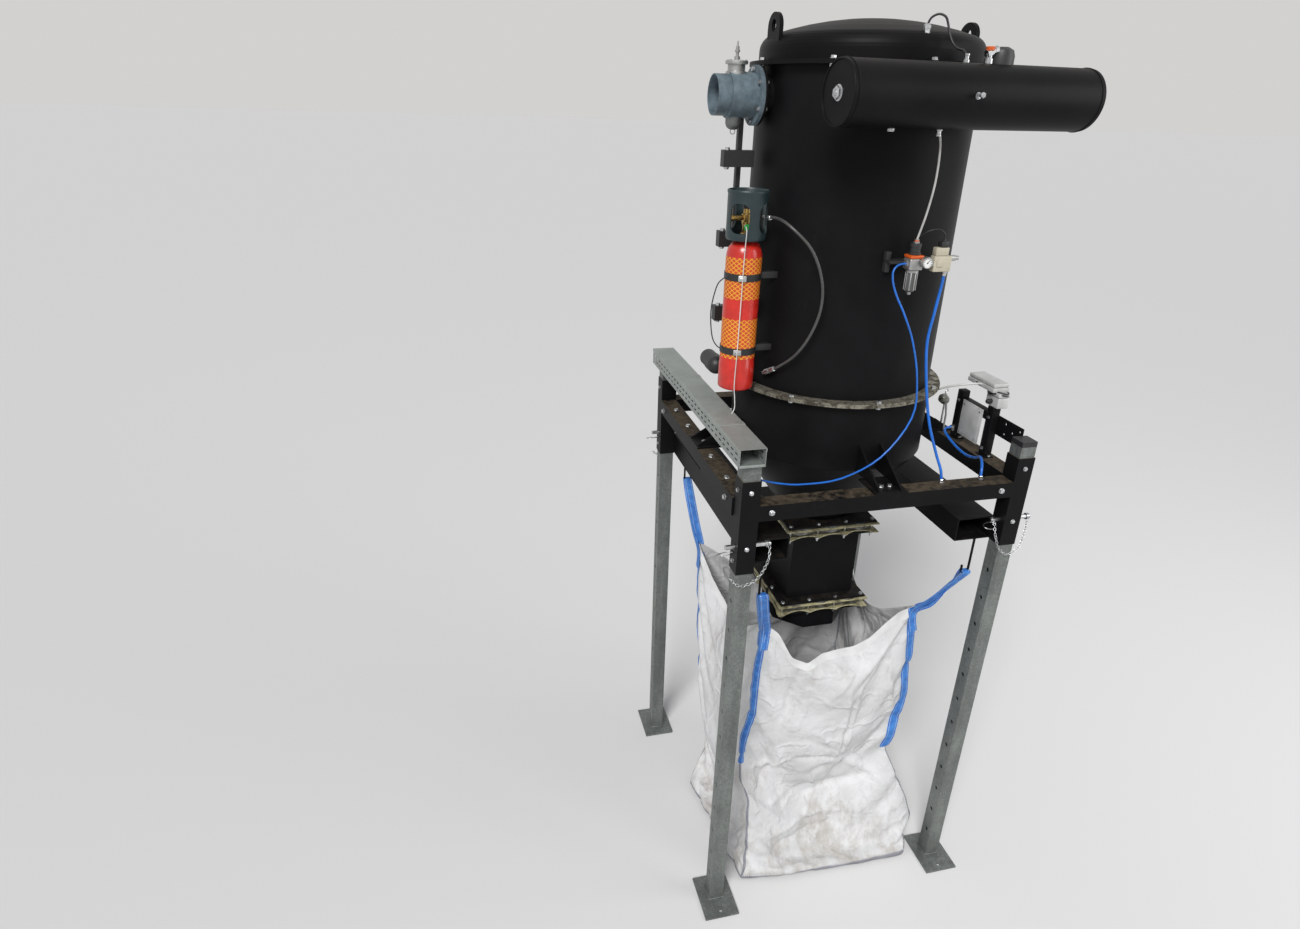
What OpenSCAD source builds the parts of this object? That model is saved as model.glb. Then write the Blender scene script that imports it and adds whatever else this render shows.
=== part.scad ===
// Separator tower: a cylindrical dust separator on a four-post stand.
// It discharges through a flexible chute into an open bulk bag on the ground.
// Origin on the ground on the vessel axis, +X right along the front beam, +Y to the back, +Z up.

/* [Stand] */
// distance between the left and right post centres
post_span_x = 1240; // [1000:10:1600]
// distance between the front and back post centres
post_span_y = 1260; // [1000:10:1600]
// side of the square inner leg
leg_w = 72; // [50:1:100]
// wall of the inner leg
leg_wall = 4; // [2:0.5:8]
// height of the leg top above the ground
leg_top = 2443; // [2000:1:3000]
// distance between the height adjustment holes
hole_pitch = 150; // [80:5:250]
// radius of the height adjustment holes
hole_r = 10.2; // [6:0.1:16]
// width of a foot plate
foot_w = 175; // [120:5:300]
// length of a foot plate
foot_len = 240; // [150:5:350]
// thickness of a foot plate
foot_t = 10; // [6:1:20]
// radius of an anchor hole
anchor_r = 9; // [5:0.5:15]
// side of the square outer sleeve
sleeve_w = 80; // [60:1:120]
// height of the sleeve's lower end
sleeve_low = 1971; // [1500:1:2300]
// height of the sleeve's upper end
sleeve_top = 2393; // [1800:1:2700]
// height of a stand beam's underside
beam_low = 2213; // [1700:1:2600]
// depth of a stand beam
beam_h = 70; // [40:5:160]
// wall of a stand beam
beam_wall = 5; // [3:0.5:10]
// width of a fork pocket
pocket_w = 180; // [120:5:220]
// depth of a fork pocket
pocket_h = 110; // [80:5:120]
// height of a fork pocket's underside
pocket_low = 1975; // [1972:1:2080]
// wall of a fork pocket
pocket_wall = 6; // [4:0.5:10]
// how far a fork pocket's end lies along the sleeves
pocket_seat = 10; // [5:1:40]
// thickness of the brackets and the splice plates
plate_t = 8; // [4:1:15]
// side of a shell bracket's base plate
bracket_w = 150; // [100:5:200]
// height of a shell bracket's gusset
gusset_h = 135; // [80:5:200]
// radius of a locking pin
pin_r = 10; // [5:0.5:15]
// height of the locking pins
pin_z = 2085; // [1900:1:2300]
// length of a locking pin
pin_len = 200; // [120:5:300]

/* [Vessel] */
// outer radius of the upper shell
shell_r = 440; // [300:5:600]
// wall of the shells
shell_wall = 4; // [3:0.5:10]
// how far the lower shell stands out from the upper one
lower_out = 10; // [4:1:40]
// height of the lower edge of the lower shell
lower_base = 2292; // [2200:1:2500]
// height of the middle joint
joint_z = 2603; // [2400:1:3000]
// how far the middle flanges stand out from the upper shell
joint_out = 52; // [30:1:120]
// thickness of a flange ring
ring_t = 8; // [5:1:20]
// height of the upper joint
neck_z = 3882; // [3000:1:4500]
// how far the upper flanges stand out from the shell
neck_out = 36; // [20:1:80]
// height of the lid's dome above its straight side
lid_rise = 120; // [100:5:250]
// height of the straight side of the lid
lid_skirt = 40; // [10:5:100]
// knuckle radius of the lid
lid_knuckle = 60; // [30:5:80]
// height of the outlet at the foot of the cone
cone_low = 1900; // [1700:1:2100]
// half width of the square chute
chute_half = 175; // [120:5:250]
// half width of the chute flanges
chute_flange = 230; // [180:5:320]
// height of the chute's lower flange
chute_low = 1405; // [1100:5:1700]
// height of the outlet lip's free end
lip_low = 1290; // [1000:5:1380]
// distance across the flats of the eight-sided outlet lip
lip_flats = 400; // [360:5:430]
// width of a lifting lug
lug_w = 120; // [60:5:200]
// height of the straight sides of a lifting lug
lug_h = 75; // [40:5:120]
// thickness of a lifting lug
lug_t = 16; // [6:1:25]
// radius of the hole in a lifting lug
lug_bore = 22; // [10:1:28]

/* [Ports] */
// height of the clean air outlet axis
port_z = 3765; // [3400:5:4000]
// outer radius of the clean air outlet
port_r = 75; // [40:1:120]
// distance from the shell to the outlet's free end
port_len = 215; // [120:5:400]
// length of the hose seat at the outlet's free end
port_seat = 55; // [30:5:120]
// radius of the outlet's operating cylinder
act_r = 32; // [20:1:50]
// outer radius of the dirty air inlet
inlet_r = 39; // [20:1:80]
// height of the dirty air inlet above the middle joint
inlet_up = 52; // [45:1:300]
// length of the inlet's free leg
inlet_len = 120; // [80:5:300]

/* [Air tank] */
// outer radius of the air tank
tank_r = 107; // [60:1:160]
// length of the air tank
tank_len = 1030; // [600:10:1500]
// height of the air tank axis
tank_z = 3775; // [3300:5:4000]
// wall of the air tank
tank_wall = 4; // [3:0.5:8]

/* [Bottle] */
// radius of the extinguishing bottle
bottle_r = 75; // [50:1:110]
// height of the bottle's base
bottle_z = 2620; // [2500:5:3000]
// length of the bottle up to its shoulder
bottle_len = 545; // [300:5:800]
// radius of the valve guard
guard_r = 82; // [60:1:120]

/* [Bag] */
// length of a bag hook
hook_len = 175; // [100:5:300]
// half width of the bag's mouth
bag_half = 392; // [300:5:500]
// height of the bag's top corners
bag_top = 1550; // [1000:10:1700]
// half width of the bag's base
bag_foot = 505; // [300:5:600]
// thickness of the bag's wall in this plain form
bag_wall = 10; // [4:1:20]
// radius of the sag in the bag's mouth
sag_r = 435; // [300:5:600]
// height of the sag's centre above the bag's top corners
sag_up = 200; // [150:5:280]
// width of the webbing
strap_w = 50; // [30:1:80]

/* [Cable tray] */
// width of the cable tray
tray_w = 112; // [60:2:200]
// height of the cable tray
tray_h = 77; // [40:1:120]
// length of the cable tray
tray_len = 1380; // [1300:10:2000]
// wall of the cable tray
tray_wall = 3; // [1:0.5:5]

/* [Fittings] */
// length of the side rail
rail_len = 850; // [500:10:1000]
// distance between the side rail's clamps
clamp_pitch = 315; // [200:5:400]
// width of the regulator's body
reg_w = 56; // [40:1:80]
// radius of the gauge
gauge_r = 22; // [15:1:30]
// width of the control valve's body
valve_w = 76; // [50:1:100]
// outer diameter of the thick hoses
hose_d = 12; // [8:0.5:20]
// outer diameter of the thin hoses
thin_d = 8; // [4:0.5:12]
// height of the control posts
control_h = 240; // [150:5:400]
// side of the control posts
control_w = 40; // [25:1:60]
// length of the mounting plate outside the control posts
mount_len = 225; // [150:5:225]
// height of the mounting plate
mount_h = 90; // [50:5:120]
// width of the pale panel inside the control posts
panel_w = 150; // [100:5:200]
// height of the pale panel
panel_h = 170; // [100:5:200]
// thickness of the mounting plate and the pale panel
panel_t = 6; // [2:0.5:8]
// length of the terminal box
box_len = 90; // [60:5:120]
// height of the terminal box
box_h = 70; // [40:5:100]
// length of the controller
unit_len = 190; // [120:5:250]
// height of the controller
unit_h = 40; // [25:5:60]

/* [Hidden] */
$fn = 96;
half_x = post_span_x / 2;
half_y = post_span_y / 2;
sides = [-1, 1];
beam_top = beam_low + beam_h;
beam_in_x = half_x - sleeve_w / 2;
beam_out_x = half_x + sleeve_w / 2;
beam_in_y = half_y - sleeve_w / 2;
beam_out_y = half_y + sleeve_w / 2;
sleeve_bore = leg_w + 0.4;
foot_out = 20;
anchor_in = 32;
splice_len = 430;
lower_r = shell_r + lower_out;
joint_r = shell_r + joint_out;
neck_r = shell_r + neck_out;
cap_h = 23;
lid_base = neck_z + ring_t;
joint_base = joint_z + ring_t;
knuckle_z = lid_base + lid_skirt;
lid_top = knuckle_z + lid_rise;
rise = lid_rise;
kn = lid_knuckle;
crown_r = (rise * rise + pow(shell_r - kn, 2) - kn * kn) / (2 * (rise - kn));
crown_a = asin((shell_r - kn) / (crown_r - kn));
chute_top = cone_low - ring_t;
seal_h = 46;
box_top = chute_top - ring_t - seal_h - ring_t;
box_low = chute_low + seal_h + 2 * ring_t;
lip_r = lip_flats / 2 / cos(22.5);
port_y = -20;
port_root = shell_r + 38;
port_reach = shell_r + port_len;
act_x = -port_root - 88;
act_top = port_z + 120;
bowl_low = port_z - 125;
port_flange_r = 109;
inlet_x = -shell_r - 122;
inlet_z = joint_z + inlet_up;
inlet_y = 20;
inlet_leg = shell_r / 8 - inlet_x - shell_r;
elbow_r = inlet_r + 3;
elbow_len = elbow_r + 6;
tank_x = 108;
tank_y = -shell_r - tank_r - 5;
tank_turn = 5;
tank_end_t = 14;
saddle_x = [-tank_len / 2 + 425, tank_len / 2 - 245];
saddle_w = 60;
saddle_len = 175;
saddle_h = 120;
bottle_x = -shell_r - bottle_r - 25;
bottle_y = -183;
bottle_top = bottle_z + bottle_len;
neck_len = 76;
neck_top = bottle_top + neck_len;
guard_h = 190;
rail_x = -shell_r - 80;
rail_low = 2850;
clamp_z = [for (i = [0 : 2]) rail_low + 53 + i * clamp_pitch];
strap_z = [bottle_z + 0.28 * bottle_len, bottle_top - 80];
rail_y = 22;
reg_x = 22;
reg_y = -shell_r - 80;
reg_z = 3180;
valve_x = 130;
valve_y = -shell_r - 60;
tray_x = -half_x - 14;
tray_z = leg_top + cap_h;
pocket_y = beam_in_y + pocket_seat;
pocket_in = beam_in_x - pocket_w;
hook_r = 6;
hook_x = beam_in_x - 68;
hook_y = pocket_y - 10;
hook_low = pocket_low - hook_len;
bag_x0 = -bag_foot - 25;
bag_y0 = -650;
bag_y1 = 330;
bag_front = -460;
bag_back = 340;
strap_t = 4;
control_y = [-170, 190 - beam_in_y];
control_top = beam_top + plate_t + control_h;
bar_low = control_top - control_w - 31;
reg_route = [[-6, -520, 3194], [-22, -520, 3194], [-42, -521, 3189], [-57, -523, 3174], [-62, -527, 3154],
    [-57, -533, 3120], [-36, -540, 3070], [2, -547, 3004], [60, -546, 2890], [108, -546, 2730],
    [104, -560, 2570], [-18, -574, 2410], [-193, -582, 2330], [-360, -580, 2318], [-450, -570, 2324],
    [-510, -552, 2332],
    [-543, -534, 2336], [-567, -515, 2335], [-584, -500, 2329], [-596, -490, 2313], [-600, -486, 2291]];
valve_route = [[172, -506, 3160], [171, -506, 3110], [162, -504, 3000], [150, -508, 2870], [166, -530, 2700],
    [196, -552, 2540], [236, -580, 2410], [260, -602, 2336], [266, -610, 2283]];
beam_route = [[600, -170, 2345], [581, -171, 2345], [553, -179, 2343], [533, -199, 2339], [526, -226, 2333],
    [524, -270, 2320], [522, -340, 2306], [520, -410, 2304], [513, -476, 2322], [502, -516, 2344],
    [487, -549, 2353], [472, -580, 2344], [460, -603, 2319], [456, -611, 2283]];
bottle_route = [[-458, -183, 3324], [-440, -262, 3330], [-410, -330, 3306], [-340, -382, 3230],
    [-296, -408, 3120], [-286, -410, 3010], [-306, -390, 2900], [-345, -348, 2800], [-390, -270, 2722],
    [-411, -220, 2692]];
lid_route = [[0, -404, 3988], [1, -405, 4006], [9, -411, 4026], [28, -425, 4036], [47, -438, 4027],
    [56, -444, 4006], [61, -452, 3980], [67, -463, 3956], [73, -477, 3938], [78, -494, 3927],
    [80, -513, 3923], [80, -533, 3917], [80, -548, 3903], [80, -554, 3882]];
riser_route = [[36, -528, 3672], [52, -528, 3600], [56, -526, 3490], [44, -522, 3380], [22, -520, 3284]];

// smooth point between b and c
function bend(a, b, c, d, t) = 0.5 * (2 * b + (c - a) * t + (2 * a - 5 * b + 4 * c - d) * t * t
    + (3 * b - a - 3 * c + d) * t * t * t);

// smooth line through the route points with n steps between neighbours
function smooth(p, n) = [for (i = [0 : len(p) - 2]) for (k = [0 : n - 1])
    bend(p[max(i - 1, 0)], p[i], p[i + 1], p[min(i + 2, len(p) - 1)], k / n), p[len(p) - 1]];

function unit(v) = v / norm(v);

// round cord swept along a line, its rings turned about the reference direction
module cord(line, d, n, ref) {
    last = len(line) - 1;
    dir = [for (i = [0 : last]) unit(line[min(i + 1, last)] - line[max(i - 1, 0)])];
    u = [for (i = [0 : last]) unit(cross(dir[i], ref))];
    w = [for (i = [0 : last]) cross(dir[i], u[i])];
    pts = [for (i = [0 : last]) for (k = [0 : n - 1])
        line[i] + (u[i] * cos(360 * k / n) + w[i] * sin(360 * k / n)) * d / 2];
    skin = [for (i = [0 : last - 1]) for (k = [0 : n - 1])
        [i * n + k, (i + 1) * n + k, (i + 1) * n + (k + 1) % n, i * n + (k + 1) % n]];
    start = [for (k = [0 : n - 1]) k];
    end = [for (k = [n - 1 : -1 : 0]) last * n + k];
    polyhedron(points = pts, faces = concat(skin, [start, end]), convexity = 6);
}

// copies at the four posts
module at_posts() {
    for (sx = sides, sy = sides) translate([sx * half_x, sy * half_y, 0]) children();
}

// upright square tube on the Z axis
module box_tube(w, bore, low, high) {
    difference() {
        translate([-w / 2, -w / 2, low]) cube([w, w, high - low]);
        translate([-bore / 2, -bore / 2, low - 1]) cube([bore, bore, high - low + 2]);
    }
}

// upright ring between two heights
module ring(outer, inner, low, high) {
    difference() {
        translate([0, 0, low]) cylinder(r = outer, h = high - low);
        translate([0, 0, low - 1]) cylinder(r = inner, h = high - low + 2);
    }
}

// flat strip between two points, its width along the given direction
module strip(p, q, w, t, turn = 0) {
    d = q - p;
    len_d = norm(d);
    translate(p) rotate([0, acos(d[2] / len_d), atan2(d[1], d[0])])
        rotate([0, 0, turn]) translate([-t / 2, -w / 2, 0]) cube([t, w, len_d]);
}

module foot_plates() {
    color("silver") for (sx = sides, sy = sides) translate([sx * half_x, sy * (half_y + foot_out), 0])
        difference() {
            translate([-foot_w / 2, -foot_len / 2, 0]) cube([foot_w, foot_len, foot_t]);
            translate([0, sy * (foot_len / 2 - anchor_in), -1]) cylinder(r = anchor_r, h = foot_t + 2);
        }
}

module legs() {
    color("silver") for (sx = sides, sy = sides) translate([sx * half_x, sy * half_y, 0]) {
        difference() {
            box_tube(leg_w, leg_w - 2 * leg_wall, foot_t, sx < 0 ? tray_z : leg_top);
            for (z = [pin_z - 13 * hole_pitch + 35 : hole_pitch : sleeve_low - hole_pitch])
                translate([-leg_w, 0, z]) rotate([0, 90, 0]) cylinder(r = hole_r, h = leg_w);
            translate([-leg_w, 0, pin_z]) rotate([0, 90, 0]) cylinder(r = hole_r, h = 2 * leg_w);
        }
    }
}

module post_sleeves() {
    color("black") at_posts() difference() {
        box_tube(sleeve_w, sleeve_bore, sleeve_low, sleeve_top);
        translate([-sleeve_w, 0, pin_z]) rotate([0, 90, 0]) cylinder(r = hole_r, h = 2 * sleeve_w);
    }
}

module locking_pins() {
    color("silver") at_posts() translate([-sleeve_w / 2 - 40, 0, pin_z]) rotate([0, 90, 0])
        cylinder(r = pin_r, h = pin_len);
}

module post_caps() {
    color("black") for (sy = sides) translate([half_x, sy * half_y, leg_top])
        translate([-leg_w / 2, -leg_w / 2, 0]) cube([leg_w, leg_w, cap_h]);
}

// hollow beam along X with its lower edge at beam_low
module cross_beam(y) {
    difference() {
        translate([-beam_in_x, y - sleeve_w / 2, beam_low]) cube([2 * beam_in_x, sleeve_w, beam_h]);
        translate([-beam_in_x - 1, y - sleeve_w / 2 + beam_wall, beam_low + beam_wall])
            cube([2 * beam_in_x + 2, sleeve_w - 2 * beam_wall, beam_h - 2 * beam_wall]);
    }
}

// hollow beam along Y with its lower edge at beam_low
module side_beam(x) {
    difference() {
        translate([x - sleeve_w / 2, -beam_in_y, beam_low]) cube([sleeve_w, 2 * beam_in_y, beam_h]);
        translate([x - sleeve_w / 2 + beam_wall, -beam_in_y - 1, beam_low + beam_wall])
            cube([sleeve_w - 2 * beam_wall, 2 * beam_in_y + 2, beam_h - 2 * beam_wall]);
    }
}

module front_beam() {
    color("black") cross_beam(-half_y);
}

module rear_beam() {
    color("black") cross_beam(half_y);
}

// side beam with the bolted splice saddle over it
module left_beam() {
    color("black") {
        side_beam(-half_x);
        translate([-beam_out_x - plate_t, -beam_in_y, beam_low]) cube([plate_t, splice_len, beam_h + plate_t]);
        translate([-beam_out_x, -beam_in_y, beam_top]) cube([sleeve_w, splice_len, plate_t]);
    }
}

module right_beam() {
    color("black") {
        side_beam(half_x);
        translate([beam_out_x, -beam_in_y, beam_low]) cube([plate_t, splice_len, beam_h + plate_t]);
        translate([beam_in_x, -beam_in_y, beam_top]) cube([sleeve_w, splice_len, plate_t]);
    }
}

// closed tube for a lifting fork, beside the inner faces of the sleeves
module pocket() {
    difference() {
        translate([pocket_in, -pocket_y, pocket_low]) cube([pocket_w, 2 * pocket_y, pocket_h]);
        translate([pocket_in + pocket_wall, -pocket_y - 1, pocket_low + pocket_wall])
            cube([pocket_w - 2 * pocket_wall, 2 * pocket_y + 2, pocket_h - 2 * pocket_wall]);
    }
}

module fork_pockets() {
    color("black") {
        pocket();
        mirror([1, 0, 0]) pocket();
    }
}

// round shell, short cone and flange below the middle joint
module lower_shell() {
    color("black") {
        ring(lower_r, lower_r - shell_wall, lower_base, joint_z - ring_t);
        difference() {
            translate([0, 0, cone_low]) cylinder(r1 = chute_half, r2 = lower_r, h = lower_base - cone_low);
            translate([0, 0, cone_low]) cylinder(r1 = chute_half - shell_wall, r2 = lower_r - shell_wall,
                h = lower_base - cone_low);
        }
    }
}

// one pair of triangular gussets on a base plate, on the +X side
module bracket(reach) {
    translate([reach - bracket_w, -bracket_w / 2, beam_top]) cube([bracket_w, bracket_w, plate_t]);
    for (sy = sides) translate([0, sy * bracket_w / 3 + plate_t / 2, beam_top + plate_t]) rotate([90, 0, 0])
        linear_extrude(height = plate_t)
            polygon([[reach - 4, 0], [lower_r - 20, 0], [lower_r - 20, gusset_h]]);
}

module shell_brackets() {
    color("black") difference() {
        for (a = [0 : 90 : 270]) rotate([0, 0, a]) bracket(a % 180 == 0 ? beam_out_x : beam_out_y);
        translate([0, 0, lower_base - 20]) cylinder(r = lower_r, h = neck_z);
    }
}

module lower_flange() {
    color("silver") {
        ring(joint_r, lower_r - shell_wall, joint_z - ring_t, joint_z);
        ring(joint_r - 3, shell_r - shell_wall, joint_z, joint_base);
    }
}

// upper shell with the two welded saddles that carry the air tank
module upper_shell() {
    color("black") {
        difference() {
            ring(shell_r, shell_r - shell_wall, joint_base, neck_z - ring_t);
            translate([-shell_r - 50, port_y, port_z]) rotate([0, 90, 0]) cylinder(r = port_r, h = shell_r);
            translate([-shell_r, inlet_y, inlet_z]) rotate([0, 90, 0]) cylinder(r = elbow_r, h = shell_r);
        }
        for (x = saddle_x) difference() {
            translate([x - saddle_w / 2, -shell_r - 40, tank_z - saddle_h / 2])
                cube([saddle_w, saddle_len, saddle_h]);
            translate([0, 0, joint_base]) cylinder(r = shell_r - 1, h = neck_z - joint_base);
            tank_place() cylinder(r = tank_r, h = 2 * tank_len, center = true);
        }
    }
}

module shell_collar() {
    color("black") ring(neck_r, shell_r - shell_wall, neck_z - ring_t, neck_z);
}

// outer profile points of the dished lid, shrunk inward by t
function dish(t) = concat(
    [for (a = [0 : 3 : 15]) [(crown_r - t) * sin(a), lid_top - crown_r + (crown_r - t) * cos(a)]],
    [for (k = [0 : 6]) let (a = crown_a + (90 - crown_a) * k / 6)
        [shell_r - kn + (kn - t) * sin(a), knuckle_z + (kn - t) * cos(a)]]);

module dish_solid(t, low) {
    rotate_extrude() polygon(concat([[0, low]], dish(t), [[shell_r - t, low]]));
}

module lid() {
    color("black") {
        difference() {
            dish_solid(0, lid_base);
            dish_solid(shell_wall, lid_base - 1);
        }
        ring(neck_r, shell_r - shell_wall, neck_z, lid_base);
    }
}

module lifting_lugs() {
    color("black") for (sx = sides) difference() {
        translate([sx * (shell_r - 20), -25, 0]) rotate([90, 0, 90])
            translate([0, 0, -lug_t / 2]) linear_extrude(height = lug_t) difference() {
                union() {
                    translate([-lug_w / 2, knuckle_z]) square([lug_w, lug_h]);
                    translate([0, knuckle_z + lug_h]) scale([1, 0.85]) circle(r = lug_w / 2);
                }
                translate([0, knuckle_z + lug_h + 5]) circle(r = lug_bore);
            }
        dish_solid(0, lid_base);
    }
}

// pipe along -X between two distances from the vessel axis
module port_pipe(outer, inner, near, far) {
    translate([-far, port_y, port_z]) rotate([0, 90, 0]) difference() {
        cylinder(r = outer, h = far - near);
        translate([0, 0, -1]) cylinder(r = inner, h = far - near + 2);
    }
}

module outlet_spigot() {
    color("black") {
        difference() {
            port_pipe(port_r, port_r - 4, shell_r - 60, port_root);
            translate([0, 0, joint_base]) cylinder(r = shell_r - shell_wall, h = neck_z - joint_base);
        }
        port_pipe(port_flange_r, port_r, port_root - 10, port_root);
    }
}

module outlet_head() {
    color("slategray") {
        port_pipe(port_flange_r, port_r - 4, port_root, port_root + 16);
        difference() {
            port_pipe(port_r + 8, port_r - 4, port_root + 16, port_reach - port_seat);
            translate([act_x, port_y, bowl_low]) cylinder(r = act_r, h = act_top - bowl_low);
        }
        difference() {
            port_pipe(port_r, port_r - 4, port_reach - port_seat, port_reach);
            translate([act_x, port_y, bowl_low]) cylinder(r = act_r, h = act_top - bowl_low);
        }
    }
}

// upright operating cylinder and drain bowl of the outlet head
module outlet_valve() {
    color("dimgray") translate([act_x, port_y, 0]) difference() {
        union() {
            translate([0, 0, bowl_low]) cylinder(r = act_r, h = act_top - bowl_low);
            translate([0, 0, act_top - 12]) cylinder(r = act_r + 12, h = 12);
            translate([0, 0, act_top]) cylinder(r = 7, h = 68);
        }
        translate([-port_reach, 0, port_z]) rotate([0, 90, 0]) cylinder(r = port_r - 4, h = 2 * port_reach);
    }
}

// elbow whose free end points to the back, with a shoulder that stops the hose
module side_inlet() {
    color("black") difference() {
        union() {
            translate([inlet_x, inlet_y, inlet_z]) rotate([0, 90, 0]) cylinder(r = elbow_r, h = inlet_leg);
            translate([inlet_x, inlet_y, inlet_z]) sphere(r = elbow_r);
            translate([inlet_x, inlet_y, inlet_z]) rotate([-90, 0, 0]) cylinder(r = elbow_r, h = elbow_len);
            translate([inlet_x, inlet_y, inlet_z]) rotate([-90, 0, 0]) cylinder(r = inlet_r, h = inlet_len);
        }
        translate([inlet_x, inlet_y, inlet_z]) rotate([0, 90, 0]) cylinder(r = inlet_r - 3, h = -inlet_x);
        translate([inlet_x, inlet_y, inlet_z]) sphere(r = inlet_r - 3);
        translate([inlet_x, inlet_y, inlet_z]) rotate([-90, 0, 0])
            cylinder(r = inlet_r - 3, h = inlet_len + 1);
        translate([0, 0, joint_base]) cylinder(r = shell_r - shell_wall, h = neck_z - joint_base);
    }
}

// upright bar with three clamp blocks against the shell
module side_rail() {
    color("black") {
        translate([rail_x - 10, rail_y - 12, rail_low]) cube([20, 24, rail_len]);
        for (z = clamp_z) difference() {
            translate([rail_x - 80, rail_y - 54, z - 32]) cube([130, 42, 64]);
            translate([0, 0, joint_base]) cylinder(r = shell_r, h = neck_z - joint_base);
        }
    }
}

module tank_place() {
    translate([tank_x, tank_y, tank_z]) rotate([0, 90, tank_turn]) children();
}

module air_tank() {
    color("black") tank_place() difference() {
        translate([0, 0, -tank_len / 2 + tank_end_t]) cylinder(r = tank_r, h = tank_len - 2 * tank_end_t);
        translate([0, 0, -tank_len / 2]) cylinder(r = tank_r - tank_wall, h = tank_len);
    }
}

module tank_ends() {
    color("black") tank_place() for (s = sides) translate([0, 0, s * (tank_len - tank_end_t) / 2]) {
        translate([0, 0, -tank_end_t / 2]) cylinder(r = tank_r, h = tank_end_t);
        translate([0, 0, s * tank_end_t / 2 - (s < 0 ? 12 : 0)]) cylinder(r = 17, h = 12);
    }
}

module air_regulator() {
    color("dimgray") {
        difference() {
            translate([reg_x - 82, reg_y + 30, reg_z + 10]) cube([260, 80, 12]);
            translate([0, 0, joint_base]) cylinder(r = shell_r, h = neck_z - joint_base);
        }
        translate([reg_x - reg_w / 2, reg_y - 28, reg_z - 10]) cube([reg_w, 58, 46]);
        translate([reg_x, reg_y, reg_z + 36]) cylinder(r = 22, h = 42);
        translate([reg_x, reg_y, reg_z + 78]) cylinder(r = 9, h = 26);
        translate([reg_x, reg_y, reg_z - 84]) cylinder(r = 22, h = 74);
        translate([reg_x, reg_y, reg_z - 104]) cylinder(r = 8, h = 20);
    }
}

module gauge() {
    color("white") translate([reg_x + reg_w / 2 + 4, reg_y - 28, reg_z + 24]) rotate([90, 0, 0])
        cylinder(r = gauge_r, h = gauge_r);
}

module control_valve() {
    color("white") {
        translate([valve_x - 20, valve_y - 22, reg_z - 20]) cube([valve_w, 32, 92]);
        translate([valve_x + 20, valve_y - 6, reg_z + 72]) cylinder(r = 13, h = 26);
        translate([valve_x + valve_w - 20, valve_y - 6, reg_z + 30]) rotate([0, 90, 0])
            cylinder(r = 11, h = 34);
    }
}

module bottle() {
    color("red") translate([bottle_x, bottle_y, 0]) rotate_extrude() polygon([[0, bottle_z],
        [bottle_r - 8, bottle_z], [bottle_r, bottle_z + 8], [bottle_r, bottle_top - 55],
        [bottle_r - 6, bottle_top - 32], [bottle_r - 22, bottle_top - 12], [34, bottle_top],
        [24, bottle_top + 16], [22, neck_top], [0, neck_top]]);
}

module bottle_guard() {
    color("slategray") translate([bottle_x, bottle_y, 0]) difference() {
        union() {
            ring(guard_r, guard_r - 5, neck_top + 12, neck_top + guard_h);
            translate([0, 0, neck_top]) cylinder(r = guard_r, h = 12);
        }
        translate([0, 0, neck_top - 1]) cylinder(r = 24, h = 20);
        for (a = [25 : 60 : 325]) rotate([0, 0, a]) translate([0, 0, neck_top + 95]) rotate([0, 90, 0])
            scale([1.5, 1, 1]) cylinder(r = 28, h = 2 * guard_r);
    }
}

module bottle_valve() {
    color("goldenrod") translate([bottle_x, bottle_y, 0]) {
        translate([0, 0, neck_top]) cylinder(r = 22, h = 70);
        translate([0, 0, neck_top + 70]) cylinder(r = 15, h = 60);
        translate([10, 0, neck_top + 83]) rotate([0, 90, 0]) cylinder(r = 11, h = 72);
    }
}

module bottle_straps() {
    color("black") for (z = strap_z) {
        translate([bottle_x, bottle_y, 0]) ring(bottle_r + 4, bottle_r, z - 15, z + 15);
        difference() {
            translate([bottle_x + 40, bottle_y - 12, z - 20]) cube([140, 24, 40]);
            translate([0, 0, joint_base]) cylinder(r = shell_r, h = neck_z - joint_base);
            translate([bottle_x, bottle_y, 0]) cylinder(r = bottle_r + 4, h = neck_z);
        }
    }
}

module square_ring(half, bore, low, high) {
    difference() {
        translate([-half, -half, low]) cube([2 * half, 2 * half, high - low]);
        translate([-bore, -bore, low - 1]) cube([2 * bore, 2 * bore, high - low + 2]);
    }
}

module discharge_chute() {
    color("black") {
        difference() {
            translate([-chute_flange, -chute_flange, chute_top])
                cube([2 * chute_flange, 2 * chute_flange, ring_t]);
            translate([0, 0, chute_top - 1]) cylinder(r = chute_half - shell_wall, h = ring_t + 2);
        }
        square_ring(chute_flange - 8, chute_half - 4, box_top, box_top + ring_t);
        square_ring(chute_half, chute_half - 4, box_low, box_top);
        square_ring(chute_flange, chute_half - 4, box_low - ring_t, box_low);
        square_ring(chute_flange - 8, chute_half - 4, chute_low - ring_t, chute_low);
        translate([0, 0, lip_low]) rotate([0, 0, 22.5]) difference() {
            cylinder(r = lip_r, h = chute_low - ring_t - lip_low, $fn = 8);
            translate([0, 0, -1]) cylinder(r = lip_r - 2 * shell_wall, h = chute_low, $fn = 8);
        }
    }
}

module flange_seals() {
    color("wheat") {
        square_ring(chute_flange + 4, chute_half - 4, box_top + ring_t, chute_top);
        square_ring(chute_flange + 4, chute_half - 4, chute_low, chute_low + seal_h + ring_t);
    }
}

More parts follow.
